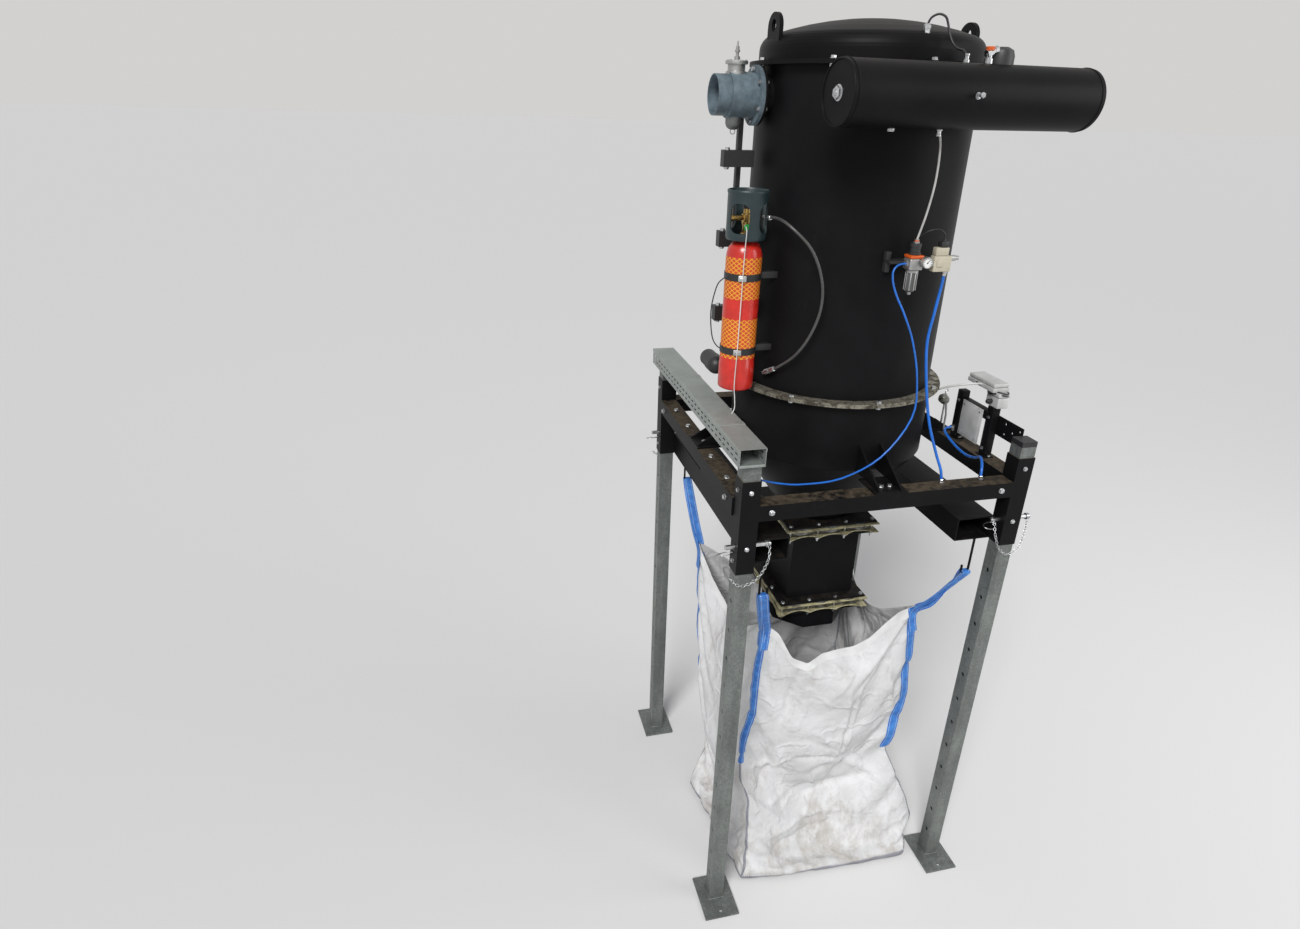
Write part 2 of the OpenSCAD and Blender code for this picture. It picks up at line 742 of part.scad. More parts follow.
// four-sided block between the bag's base and its mouth, shrunk inward by t and raised by up
module bag_block(t, up) {
    polyhedron(points = [[bag_x0 + t, bag_y0 + t, t], [bag_foot - t, bag_y0 + t, t],
        [bag_foot - t, bag_y1 - t, t], [bag_x0 + t, bag_y1 - t, t],
        [-bag_half + t, bag_front + t, bag_top + up], [bag_half - t, bag_front + t, bag_top + up],
        [bag_half - t, bag_back - t, bag_top + up], [-bag_half + t, bag_back - t, bag_top + up]],
        faces = [[0, 1, 2, 3], [7, 6, 5, 4], [4, 5, 1, 0], [5, 6, 2, 1], [6, 7, 3, 2], [7, 4, 0, 3]]);
}

// open bag: four sloping walls and a base, its mouth sagging between the corners
module big_bag() {
    color("white") difference() {
        bag_block(0, 0);
        bag_block(bag_wall, 1);
        translate([0, bag_y0, bag_top + sag_up]) rotate([-90, 0, 0])
            cylinder(r = sag_r, h = bag_y1 - bag_y0, $fn = 48);
        translate([bag_x0, (bag_front + bag_back) / 2, bag_top + 1.1 * sag_up])
            rotate([0, 90, 0]) cylinder(r = sag_r, h = bag_foot - bag_x0, $fn = 48);
    }
}

// webbing up to the hooks and down the bag's corner seams
module bag_straps() {
    color("royalblue") difference() {
        for (sx = sides, sy = sides) {
            top = [sx * (bag_half - 8), sy > 0 ? bag_back - 8 : bag_front + 8, bag_top - 30];
            low = [sx * (bag_half + 42), sy > 0 ? bag_back - 14 : bag_front - 78, 0.6 * bag_top];
            strip(top, [sx * hook_x, sy * hook_y, hook_low + 12], strap_w, strap_t);
            strip(low, top, strap_w, strap_t * 5, sx * sy * 45);
        }
        bag_block(0, 0);
        for (sx = sides, sy = sides) translate([sx * hook_x, sy * hook_y, hook_low])
            cylinder(r = hook_r, h = hook_len);
    }
}

module bag_hooks() {
    color("black") for (sx = sides, sy = sides) translate([sx * hook_x, sy * hook_y, hook_low])
        cylinder(r = hook_r, h = hook_len);
}

module control_stand() {
    color("black") {
        for (y = control_y) translate([half_x - control_w / 2, y - control_w / 2, beam_top + plate_t])
            cube([control_w, control_w, control_h]);
        translate([half_x + control_w / 2, control_y[1] + control_w - mount_len, bar_low + 31 - mount_h])
            cube([panel_t, mount_len, mount_h]);
        translate([half_x - control_w / 2, control_y[1] + control_w / 2, bar_low])
            cube([control_w, control_y[0] - control_y[1] - control_w, control_w]);
    }
}

module control_box() {
    color("lightgray") {
        translate([half_x - control_w / 2 - panel_t, control_y[1] + control_w, bar_low + control_w - panel_h])
            cube([panel_t, panel_w, panel_h]);
        translate([half_x - control_w / 2, control_y[1] - control_w, control_top])
            cube([1.5 * control_w, box_len, box_h]);
        translate([half_x - control_w, control_y[1] - control_w / 2, control_top + box_h])
            cube([2 * control_w, unit_len, unit_h]);
    }
}

module cable_tray() {
    color("silver") difference() {
        translate([tray_x - tray_w / 2, -tray_len / 2, tray_z]) cube([tray_w, tray_len, tray_h]);
        translate([tray_x - tray_w / 2 + tray_wall, -tray_len, tray_z + tray_wall])
            cube([tray_w - 2 * tray_wall, 2 * tray_len, tray_h - 2 * tray_wall]);
    }
}

module bottle_hose() {
    color("black") cord(smooth(bottle_route, 6), hose_d, 8, [0.8, 0.6, 0]);
}

module regulator_hose() {
    color("dodgerblue") cord(smooth(reg_route, 4), thin_d, 8, [0, 1, 0]);
}

module valve_hose() {
    color("dodgerblue") cord(smooth(valve_route, 8), hose_d, 8, [0, 1, 0]);
}

module beam_hose() {
    color("dodgerblue") cord(smooth(beam_route, 5), hose_d, 8, [1, 0, 0]);
}

module lid_hose() {
    color("black") cord(smooth(lid_route, 4), thin_d, 8, [0.6, 0.8, 0]);
}

module riser_hose() {
    color("gray") cord(smooth(riser_route, 6), thin_d, 8, [0, 1, 0]);
}

foot_plates();
legs();
post_sleeves();
locking_pins();
post_caps();
front_beam();
rear_beam();
left_beam();
right_beam();
fork_pockets();
lower_shell();
shell_brackets();
lower_flange();
upper_shell();
shell_collar();
lid();
lifting_lugs();
outlet_spigot();
outlet_head();
outlet_valve();
side_inlet();
side_rail();
air_tank();
tank_ends();
air_regulator();
gauge();
control_valve();
bottle();
bottle_guard();
bottle_valve();
bottle_straps();
discharge_chute();
flange_seals();
big_bag();
bag_straps();
bag_hooks();
control_stand();
control_box();
cable_tray();
bottle_hose();
regulator_hose();
valve_hose();
beam_hose();
lid_hose();
riser_hose();
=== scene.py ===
import math
import random

import bmesh
import bpy
from bpy.props import FloatProperty, FloatVectorProperty, PointerProperty
from mathutils import Matrix, Vector


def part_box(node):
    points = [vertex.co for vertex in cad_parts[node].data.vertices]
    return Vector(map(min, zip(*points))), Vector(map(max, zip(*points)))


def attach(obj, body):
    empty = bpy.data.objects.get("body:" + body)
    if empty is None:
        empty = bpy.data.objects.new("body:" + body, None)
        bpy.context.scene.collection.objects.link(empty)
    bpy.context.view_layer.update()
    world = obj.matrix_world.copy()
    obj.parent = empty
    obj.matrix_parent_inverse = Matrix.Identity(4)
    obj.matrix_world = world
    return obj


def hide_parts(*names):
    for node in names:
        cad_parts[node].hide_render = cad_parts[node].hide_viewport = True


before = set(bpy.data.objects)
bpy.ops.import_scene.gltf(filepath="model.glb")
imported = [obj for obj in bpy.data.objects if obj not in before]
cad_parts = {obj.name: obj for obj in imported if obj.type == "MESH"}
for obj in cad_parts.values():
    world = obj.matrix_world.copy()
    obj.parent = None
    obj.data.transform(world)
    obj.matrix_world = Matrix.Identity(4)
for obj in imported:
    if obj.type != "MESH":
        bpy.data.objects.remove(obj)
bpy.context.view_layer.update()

bl_info = {
    "name": "Separator Tower",
    "version": (1, 0, 0),
    "blender": (4, 5, 0),
    "location": "View3D > Sidebar > Tower",
    "description": "Dresses the solids of a dust separator on its stand",
    "category": "Object",
}

UP = Vector((0, 0, 1))
DOWN = (0, 0, -1)
LEFT = (-1, 0, 0)
RIGHT = (1, 0, 0)
FRONT = (0, -1, 0)
SIDES = (-1, 1)


# Sizes and colours that a user would change

def colour(name, text, value):
    """A colour setting."""
    limits = {"size": 3, "min": 0, "max": 1}
    return FloatVectorProperty(name=name, description=text, subtype="COLOR", default=value, **limits)


def length(name, text, value):
    """A size setting in metres."""
    return FloatProperty(name=name, description=text, unit="LENGTH", min=0, default=value, precision=4)


class StageSettings(bpy.types.PropertyGroup):
    floor: colour("Floor", "Colour of the floor", (0.70, 0.695, 0.685))
    sky: FloatProperty(name="Surround", description="Strength of the even light around", default=0.36)
    key: FloatProperty(name="Key lamp", description="Strength of the main lamp", default=2.7)
    fill: FloatProperty(name="Fill lamp", description="Power of the second lamp", unit="POWER", default=150)
    lens: FloatProperty(name="Lens", description="Focal length of the camera in millimetres", default=21.873)


class PaintSettings(bpy.types.PropertyGroup):
    black: colour("Black paint", "Powder coat of the vessel and the stand", (0.0048, 0.0048, 0.0053))
    dust: colour("Dust", "Settled dust on the upper faces", (0.105, 0.082, 0.056))
    zinc: colour("Galvanised steel", "Hot dip zinc on the legs", (0.165, 0.178, 0.168))
    bright: colour("Bright zinc", "Plated fasteners and pins", (0.62, 0.63, 0.64))
    casting: colour("Casting", "Painted casting of the outlet head", (0.115, 0.155, 0.18))
    red: colour("Bottle red", "Enamel of the bottle", (0.55, 0.020, 0.012))


class HoseSettings(bpy.types.PropertyGroup):
    air: length("Air hose", "Outer diameter of the thick air hoses", 0.012)
    thin: length("Thin hose", "Outer diameter of the thin air hoses", 0.008)
    blue: colour("Blue hose", "Colour of the blue air hoses", (0.010, 0.135, 0.56))
    grey: colour("Grey hose", "Colour of the grey air hose", (0.42, 0.41, 0.39))
    black: colour("Black hose", "Colour of the black rubber hoses", (0.016, 0.016, 0.017))


# Materials

class Value:
    """A socket in a material's tree. Arithmetic on it adds the Math nodes."""

    def __init__(self, finish, socket):
        self.finish = finish
        self.socket = socket

    def __add__(self, other):
        return self.finish.maths("ADD", self, other)

    __radd__ = __add__

    def __mul__(self, other):
        return self.finish.maths("MULTIPLY", self, other)

    __rmul__ = __mul__

    def __sub__(self, other):
        return self.finish.maths("SUBTRACT", self, other)

    def __rsub__(self, other):
        return self.finish.maths("SUBTRACT", other, self)

    def above(self, edge):
        return self.finish.maths("GREATER_THAN", self, edge)


class Finish:
    """A procedural material: its tree, its shader, and one method that adds any other node."""

    def __init__(self, name, **constants):
        self.material = bpy.data.materials.new(name)
        self.material.use_nodes = True
        self.tree = self.material.node_tree
        self.shader = self.tree.nodes["Principled BSDF"]
        self.place = self.node("ShaderNodeTexCoord", out="Object")
        self.set(**constants)

    def node(self, kind, settings=None, sockets=None, out=0):
        """Adds a node, gives it its settings, feeds its sockets and returns one of its outputs."""
        made = self.tree.nodes.new(kind)
        for key, value in (settings or {}).items():
            if key == "stops":
                stops = made.color_ramp.elements
                while len(stops) < len(value):
                    stops.new(1)
                for stop, (position, tint) in zip(stops, value):
                    stop.position = position
                    stop.color = (*tint, 1)
            else:
                setattr(made, key, value)
        for key, value in (sockets or {}).items():
            self.feed(made.inputs[key], value)
        return Value(self, made.outputs[out])

    def feed(self, socket, value):
        if isinstance(value, Value):
            self.tree.links.new(value.socket, socket)
        elif socket.type == "RGBA" and len(value) == 3:
            socket.default_value = (*value, 1)
        else:
            socket.default_value = value

    def set(self, **sockets):
        """Feeds the shader's sockets, with an underscore for each space in their names."""
        for key, value in sockets.items():
            self.feed(self.shader.inputs[key.replace("_", " ")], value)

    def maths(self, operation, *terms):
        return self.node("ShaderNodeMath", {"operation": operation}, dict(enumerate(terms)))

    def parts(self, vector):
        """The X, Y and Z of a vector."""
        return [self.node("ShaderNodeSeparateXYZ", None, {0: vector}, out=k) for k in range(3)]

    def noise(self, scale, detail=4, roughness=0.6, stretch=(1, 1, 1)):
        """Cloudy values from 0 to 1 in the object's coordinates, which may be stretched."""
        where = self.node("ShaderNodeMapping", None, {"Vector": self.place, "Scale": stretch})
        sockets = {"Vector": where, "Scale": scale, "Detail": detail, "Roughness": roughness}
        return self.node("ShaderNodeTexNoise", None, sockets)

    def between(self, value, low, high, start=0.0, end=1.0):
        """Maps a value from low..high to start..end and holds it there."""
        sockets = {"Value": value, "From Min": low, "From Max": high, "To Min": start, "To Max": end}
        return self.node("ShaderNodeMapRange", {"clamp": True, "interpolation_type": "SMOOTHSTEP"}, sockets)

    def mix(self, factor, first, second):
        return self.node("ShaderNodeMix", {"data_type": "RGBA"}, {0: factor, 6: first, 7: second}, out=2)

    def cloudy(self, value, tint, dark, light, high=0.72):
        """The tint, darker where a value is low and lighter where it is high."""
        return self.mix(self.between(value, 0.3, high), shade(tint, dark), shade(tint, light))

    def upward(self):
        """1 on faces that look up and 0 on the rest."""
        return self.between(self.parts(self.node("ShaderNodeNewGeometry", out="Normal"))[2], 0.8, 0.98)

    def uv(self):
        """The two values of the piece's own UV map."""
        return self.parts(self.node("ShaderNodeUVMap", {"uv_map": "UVMap"}))[:2]

    def stripes(self, value, count):
        """Soft stripes, so many to each unit of a value."""
        return 0.5 + 0.5 * self.maths("SINE", value * (2 * math.pi * count))

    def bump(self, height, distance, strength=1.0):
        sockets = {"Height": height, "Distance": distance, "Strength": strength}
        self.set(Normal=self.node("ShaderNodeBump", None, sockets))


def shade(tint, factor):
    """A colour made lighter or darker."""
    return tuple(min(1, part * factor) for part in tint)


def setting(tint):
    """A colour as it is, or the user's colour where it is given by its group and name."""
    if isinstance(tint, str):
        group, name = tint.split(".")
        return tuple(getattr(getattr(bpy.context.scene, "tower_" + group), name))
    return tint


def painted(name, dust_amount, dust_low, scuffs):
    """Powder coat with settled dust on its upper faces."""
    black, dust = setting("paint.black"), setting("paint.dust")
    f = Finish(name, Specular_IOR_Level=0.09)
    patches = f.noise(3.5, 5, 0.62)
    grime = f.noise(38, 4, 0.65)
    streaks = f.noise(9, 4, 0.7, stretch=(1, 1, 0.12))
    body = f.mix(f.between(patches, 0.35, 0.7), black, shade(black, 1.5))
    worn = f.between(streaks * 0.6 + grime * 0.4, 0.56, 0.74) * scuffs
    body = f.mix(worn, body, shade(dust, 0.45))
    settled = f.between(patches * 0.5 + grime * 0.5, dust_low, dust_low + 0.22)
    lying = f.upward() * settled * dust_amount
    f.set(Base_Color=f.mix(lying, body, f.mix(grime, shade(dust, 0.6), shade(dust, 1.25))),
          Roughness=0.40 + 0.10 * patches + 0.45 * lying + 0.12 * worn)
    f.bump(f.noise(650, 2, 0.5) * 0.6 + grime * lying * 2.0, 0.0006, 0.35)
    return f


def zinc_coat(name, lightness, spangle, metallic, mottle):
    """Hot dip zinc: spangled cells, cloudy patches and long runs."""
    f = Finish(name)
    tint = shade(setting("paint.zinc"), lightness)
    sockets = {"Vector": f.place, "Scale": spangle}
    cells = f.node("ShaderNodeTexVoronoi", {"feature": "F1"}, sockets, out="Color")
    cell = f.node("ShaderNodeSeparateColor", None, {0: cells})
    clouds = f.noise(7, 6, 0.68, stretch=(1, 1, 0.45))
    runs = f.noise(30, 4, 0.6, stretch=(1, 1, 0.05))
    tone = f.between(clouds * 0.6 + runs * 0.25 + cell * 0.15, 0.3, 0.72)
    stops = [(0.0, shade(tint, 1 - mottle)), (0.55, tint), (1.0, shade(tint, 1 + 1.3 * mottle))]
    f.set(Base_Color=f.node("ShaderNodeValToRGB", {"stops": stops}, {0: tone}),
          Metallic=metallic, Roughness=0.40 + 0.22 * clouds + 0.08 * cell)
    f.bump(clouds * 0.5 + cell * 0.25 + f.noise(260, 2) * 0.2, 0.001, 0.3)
    return f


def metal(name, tint, roughness, metallic=1.0, grain=420, depth=0.3):
    """Bare or plated metal with small marks and an uneven gloss."""
    f = Finish(name)
    marks = f.noise(grain, 3, 0.6)
    patches = f.noise(24, 4, 0.6)
    f.set(Base_Color=f.cloudy(patches, setting(tint), 0.72, 1.12, 0.75),
          Metallic=metallic, Roughness=roughness + 0.18 * (patches - 0.5) + 0.1 * marks)
    f.bump(marks * 0.6 + patches * 0.4, 0.0005, depth)
    return f


def plastic(name, tint, roughness=0.42, grain=700, coat=0.0):
    """Moulded plastic with a fine grain and faint handling marks."""
    f = Finish(name, Coat_Weight=coat)
    cloud = f.noise(12, 4, 0.6)
    f.set(Base_Color=f.cloudy(cloud, setting(tint), 0.82, 1.1), Roughness=roughness + 0.16 * (cloud - 0.5))
    f.bump(f.noise(grain, 2, 0.5), 0.0004, 0.3)
    return f


def flange_steel(name):
    """Light dusty metal of the joint rings, with dirt in patches."""
    f = Finish(name)
    dirt = f.noise(26, 6, 0.7)
    fine = f.noise(180, 3, 0.6)
    mask = f.between(dirt * 0.75 + fine * 0.25, 0.40, 0.56)
    f.set(Base_Color=f.mix(mask, (0.34, 0.32, 0.26), (0.045, 0.038, 0.026)),
          Metallic=f.between(mask, 0, 1, 0.75, 0.05), Roughness=f.between(mask, 0, 1, 0.38, 0.85))
    f.bump(dirt * 0.5 + fine * 0.5, 0.0012, 0.5)
    return f


def casting(name):
    """Painted casting with a grainy skin."""
    f = Finish(name, Metallic=0.15)
    cloud = f.noise(20, 5, 0.65)
    f.set(Base_Color=f.cloudy(cloud, setting("paint.casting"), 0.7, 1.35), Roughness=0.42 + 0.2 * cloud)
    f.bump(f.noise(240, 3, 0.6) * 0.7 + cloud * 0.3, 0.0012, 0.45)
    return f


def yellowed_sheet(name):
    """Yellowed clear sheet with dust held in its folds."""
    f = Finish(name)
    dirt = f.noise(17, 6, 0.7)
    mask = f.between(dirt, 0.42, 0.66)
    f.set(Base_Color=f.mix(mask, (0.46, 0.42, 0.25), (0.15, 0.13, 0.075)),
          Roughness=f.between(mask, 0, 1, 0.22, 0.6))
    f.bump(dirt, 0.003, 0.5)
    return f


def mirroring_strip(name):
    """Clear plastic strip that mirrors its surroundings, with dust behind it."""
    f = Finish(name, Specular_IOR_Level=0.8, Roughness=0.10, Metallic=0.4)
    dust = f.between(f.noise(30, 5, 0.7), 0.35, 0.65)
    f.set(Base_Color=f.mix(dust, (0.17, 0.17, 0.15), (0.035, 0.033, 0.026)))
    f.bump(f.noise(40, 3, 0.5), 0.002, 0.35)
    return f


def woven_cloth(name):
    """Woven tape cloth with sewn seams at its corners, grubby low down."""
    f = Finish(name, Specular_IOR_Level=0.35)
    u, v = f.uv()
    soft = f.noise(5, 5, 0.6)
    smears = f.noise(8, 6, 0.72, stretch=(1, 1, 0.35))
    low = f.between(f.parts(f.place)[2], 0.0, 0.42, 1.0, 0.0)
    dirt = f.between(smears + low * 0.16, 0.52, 0.80)
    tone = f.mix(f.between(soft, 0.3, 0.7), (0.55, 0.55, 0.55), (0.66, 0.66, 0.665))
    tone = f.mix(dirt * 0.6, tone, (0.30, 0.26, 0.21))
    side_seam = f.between(f.maths("PINGPONG", u, 0.5), 0.007, 0.012, 1.0, 0.0)
    seam = f.maths("MAXIMUM", side_seam, f.between(v, 0.018, 0.026, 1.0, 0.0))
    stitch = seam * f.stripes(v + u, 95).above(0.3)
    f.set(Base_Color=f.mix(stitch * 0.92, tone, (0.022, 0.034, 0.085)), Roughness=0.5 + 0.2 * dirt)
    weave = f.stripes(u, 340) * 0.5 + f.stripes(v, 560) * 0.5
    folds = 0
    for scale, depth in ((4.5, 1.4), (8, 0.5)):
        off = f.maths("ABSOLUTE", f.noise(scale, 3, 0.5) - 0.5)
        folds = folds + (1 - f.between(off, 0.0, 0.05)) * depth
    f.bump(weave * 0.12 + seam * 0.5 + stitch * 0.3 + folds + f.noise(22, 4, 0.6) * 0.6, 0.005, 0.5)
    return f


def sewn_hem(name):
    """Folded and sewn edge of the woven cloth."""
    f = Finish(name, Specular_IOR_Level=0.35, Roughness=0.6)
    soft = f.noise(14, 5, 0.6)
    f.set(Base_Color=f.mix(f.between(soft, 0.3, 0.75), (0.56, 0.56, 0.55), (0.68, 0.68, 0.68)))
    f.bump(f.stripes(f.uv()[0], 60) * 0.3 + soft * 0.6, 0.001, 0.4)
    return f


def ribbed_webbing(name):
    """Polypropylene webbing: ribs along it, two sewn lines, and a paler worn face."""
    f = Finish(name, Specular_IOR_Level=0.4)
    u, v = f.uv()
    wear = f.noise(30, 5, 0.65)
    ribs = f.stripes(u, 9)
    tone = f.mix(f.between(wear, 0.35, 0.75), (0.016, 0.105, 0.40), (0.06, 0.25, 0.66))
    off = f.maths("ABSOLUTE", f.maths("PINGPONG", u, 0.5) - 0.17)
    stitch = f.between(off, 0.025, 0.05, 1.0, 0.0) * f.stripes(v, 125).above(0.5)
    f.set(Base_Color=f.mix(stitch * 0.8, f.mix(ribs * 0.3, tone, (0.10, 0.32, 0.80)), (0.62, 0.66, 0.72)),
          Roughness=0.48 + 0.2 * wear)
    f.bump(ribs * 0.6 + f.stripes(v, 280) * 0.3 + stitch * 0.8, 0.0012, 0.6)
    return f


# Axis and radius of the bottle, and the heights of the two bands of net round it
BOTTLE_X, BOTTLE_Y = -0.540, -0.183
BOTTLE_RADIUS = 0.0738
NET_BANDS = ((2.760, 2.927), (3.010, 3.176))
NET_ROWS = 55
NET_COLUMNS = 40.96


def netted_enamel(name):
    """Red enamel, with bands of an open net of yellow cord over orange."""
    f = Finish(name, Coat_Weight=0.25)
    x, y, z = f.parts(f.place)
    round_it = f.maths("ARCTAN2", y - BOTTLE_Y, x - BOTTLE_X) * BOTTLE_RADIUS
    bands = 0
    for low, high in NET_BANDS:
        bands = bands + z.above(low) * (1 - z.above(high))
    lines = [f.maths("PINGPONG", round_it * NET_COLUMNS + z * way, 0.5) for way in (NET_ROWS, -NET_ROWS)]
    strand = f.between(f.maths("MINIMUM", *lines), 0.06, 0.15, 1, 0)
    net = f.mix(strand, (0.52, 0.055, 0.006), (0.80, 0.36, 0.012))
    red = setting("paint.red")
    wear = f.noise(16, 5, 0.65)
    body = f.mix(f.between(wear, 0.35, 0.75), shade(red, 0.85), shade(red, 1.15))
    f.set(Base_Color=f.mix(bands, body, net), Roughness=0.24 + 0.3 * bands + 0.08 * wear)
    f.bump(bands * strand + wear * 0.05, 0.0015, 0.6)
    return f


# Rows of slots in the tray's side, the length of tray that takes half a slot and half a gap, and half a slot
SLOT_ROWS = ((2.4855, 2.4925), (2.5095, 2.5165))
SLOT_PITCH = 0.025
SLOT_HALF = 0.013


def slotted_coat(name):
    """The tray's zinc, with two rows of slots cut through its sides."""
    f = zinc_coat(name, 1.75, 220, 0.4, 0.13)
    y, z = f.parts(f.place)[1:]
    side = f.maths("ABSOLUTE", f.parts(f.node("ShaderNodeNewGeometry", out="Normal"))[0])
    rows = 0
    for low, high in SLOT_ROWS:
        rows = rows + z.above(low) * (1 - z.above(high))
    slots = (1 - f.maths("PINGPONG", y, SLOT_PITCH).above(SLOT_HALF)) * rows
    f.set(Alpha=1 - side.above(0.9) * slots)
    return f


# The maker of each material, and its values
FINISHES = {
    "black_paint": (painted, 0.15, 0.42, 0.10),
    "stand_paint": (painted, 0.72, 0.34, 0.22),
    "galvanised": (zinc_coat, 1, 150, 0.5, 0.34),
    "tray_zinc": (zinc_coat, 1.9, 220, 0.4, 0.13),
    "slotted_zinc": (slotted_coat,),
    "zinc": (metal, "paint.bright", 0.28),
    "brass": (metal, (0.58, 0.38, 0.13), 0.3),
    "alloy": (metal, (0.50, 0.50, 0.49), 0.34, 0.85, 300, 0.35),
    "dark_casting": (metal, (0.20, 0.205, 0.205), 0.45, 0.7, 240, 0.5),
    "flange_steel": (flange_steel,),
    "grey_casting": (casting,),
    "black_plastic": (plastic, (0.018, 0.018, 0.019), 0.48),
    "pale_plastic": (plastic, (0.50, 0.505, 0.49), 0.4),
    "black_rubber": (plastic, "hoses.black", 0.45),
    "blue_hose": (plastic, "hoses.blue", 0.3, 900),
    "grey_hose": (plastic, "hoses.grey", 0.35, 900),
    "braided_hose": (plastic, (0.062, 0.062, 0.060), 0.36, 330, 0.1),
    "red_paint": (plastic, "paint.red", 0.3, 500),
    "slate_paint": (plastic, (0.018, 0.034, 0.038), 0.38, 500),
    "green_plastic": (plastic, (0.01, 0.28, 0.04), 0.4),
    "orange_plastic": (plastic, (0.62, 0.10, 0.012), 0.4),
    "beige_plastic": (plastic, (0.46, 0.42, 0.32), 0.45),
    "smoked_plastic": (plastic, (0.10, 0.10, 0.095), 0.16),
    "dial_white": (plastic, (0.72, 0.72, 0.70), 0.3),
    "white_wire": (plastic, (0.62, 0.62, 0.60), 0.45),
    "bottle_coat": (netted_enamel,),
    "seal_sheet": (yellowed_sheet,),
    "clear_band": (mirroring_strip,),
    "woven_white": (woven_cloth,),
    "rim_tape": (sewn_hem,),
    "blue_webbing": (ribbed_webbing,),
}


# The materials made so far, by name
MADE = {}


def finish(name):
    """The material with this name, made the first time it is asked for."""
    if name not in MADE:
        maker, *values = FINISHES[name]
        MADE[name] = maker(name, *values).material
    return MADE[name]


# Modelling

def only(piece=None):
    """Leaves edit mode, deselects everything, and selects the one piece."""
    active = bpy.context.view_layer.objects.active
    if active and active.mode != "OBJECT":
        bpy.ops.object.mode_set(mode="OBJECT")
    bpy.ops.object.select_all(action="DESELECT")
    if piece:
        piece.select_set(True)
        bpy.context.view_layer.objects.active = piece
    return piece


def edit(piece, work):
    """Does some work in edit mode on the whole of a piece."""
    only(piece)
    bpy.ops.object.mode_set(mode="EDIT")
    bpy.ops.mesh.select_all(action="SELECT")
    work()
    bpy.ops.object.mode_set(mode="OBJECT")
    return piece


def outwards():
    bpy.ops.mesh.select_all(action="SELECT")
    bpy.ops.mesh.normals_make_consistent(inside=False)


def settle(piece, matrix=None):
    """Puts the place, turn and size of a piece into its mesh, after an optional move."""
    if matrix is not None:
        piece.matrix_world = matrix
    only(piece)
    bpy.ops.object.transform_apply(location=True, rotation=True, scale=True)
    return piece


def smooth(piece, angle=35):
    """Shades a piece smooth where its faces meet at less than an angle."""
    only(piece)
    bpy.ops.object.shade_smooth_by_angle(angle=math.radians(angle))
    return piece


def metres(values):
    return [value / 1000 for value in values]


def aim(place, towards=UP, roll=0.0):
    """The matrix that stands a piece at a place with its Z axis towards a direction."""
    turn = Vector(towards).to_track_quat("Z", "Y").to_matrix().to_4x4()
    return Matrix.Translation(place) @ turn @ Matrix.Rotation(roll, 4, "Z")


def put(piece, place, towards=UP, roll=0.0):
    """Stands a piece at a place, with its Z axis towards a direction."""
    return settle(piece, aim(place, towards, roll))


def box(low, high, width=0.0, segments=2):
    """A box between two corners, its edges rounded to a width."""
    low, high = Vector(low), Vector(high)
    only()
    bpy.ops.mesh.primitive_cube_add(size=1, location=(low + high) / 2)
    piece = bpy.context.object
    piece.scale = high - low
    settle(piece)
    if width:
        edit(piece, lambda: bpy.ops.mesh.bevel(offset=width, segments=segments, affect="EDGES"))
    return smooth(piece)


def block(x, y, z, width=0.0, segments=2, at=(0, 0, 0)):
    """A box in millimetres from a place: its reach along X, Y and Z, and the width of its rounded edges."""
    low, high = (Vector(metres(ends)) + Vector(at) for ends in zip(x, y, z))
    return box(low, high, width / 1000, segments)


def turned(stations, sides=32, angle=35):
    """A turned solid about Z: the disc at the first radius and height is drawn out ring by ring."""
    (radius, height), *rest = stations
    only()
    disc = {"vertices": sides, "radius": radius, "fill_type": "NGON"}
    bpy.ops.mesh.primitive_circle_add(location=(0, 0, height), **disc)
    piece = settle(bpy.context.object)

    def draw_out():
        wide, low = radius, height
        for next_wide, high in rest:
            bpy.ops.mesh.extrude_region_move(TRANSFORM_OT_translate={"value": (0, 0, high - low)})
            share = next_wide / wide
            bpy.ops.transform.resize(value=(share, share, 1), center_override=(0, 0, high))
            wide, low = next_wide, high
        outwards()
    return smooth(edit(piece, draw_out), angle)


def lathe(profile, place=None, towards=UP, sides=20, angle=35):
    """A turned solid from radii and heights in millimetres, stood at a place if one is given."""
    stations = list(zip(metres(profile[::2]), metres(profile[1::2])))
    piece = turned(stations, sides, angle)
    return piece if place is None else put(piece, place, towards)


def nut(profile, place=None, towards=UP):
    """A turned solid with six sides."""
    return lathe(profile, place, towards, 6, 20)


def open_up(piece, test):
    """Deletes the faces whose centre and normal pass a test."""
    only(piece)
    bpy.ops.object.mode_set(mode="EDIT")
    bpy.ops.mesh.select_mode(type="FACE")
    bpy.ops.mesh.select_all(action="DESELECT")
    mesh = bmesh.from_edit_mesh(piece.data)
    for face in mesh.faces:
        face.select_set(test(face.calc_center_median(), face.normal))
    bmesh.update_edit_mesh(piece.data)
    bpy.ops.mesh.delete(type="FACE")
    bpy.ops.object.mode_set(mode="OBJECT")
    return piece


def join(*pieces):
    """One piece made of several."""
    first, *others = pieces
    only(first)
    for piece in others:
        piece.select_set(True)
    if others:
        bpy.ops.object.join()
    return settle(first)


def spread(pattern, places):
    """Copies of a piece at each matrix, joined into one. The pattern itself is removed."""
    copies = []
    for place in places:
        copy = bpy.data.objects.new(pattern.name, pattern.data.copy())
        bpy.context.collection.objects.link(copy)
        copy.data.transform(place)
        copies.append(copy)
    bpy.data.objects.remove(pattern)
    return join(*copies)


def finished(piece, **modifiers):
    """Adds modifiers with their settings, by type, and applies them."""
    only(piece)
    for kind, settings in modifiers.items():
        modifier = piece.modifiers.new(kind, kind)
        for key, value in settings.items():
            setattr(modifier, key, value)
        bpy.ops.object.modifier_apply(modifier=modifier.name)
    return piece


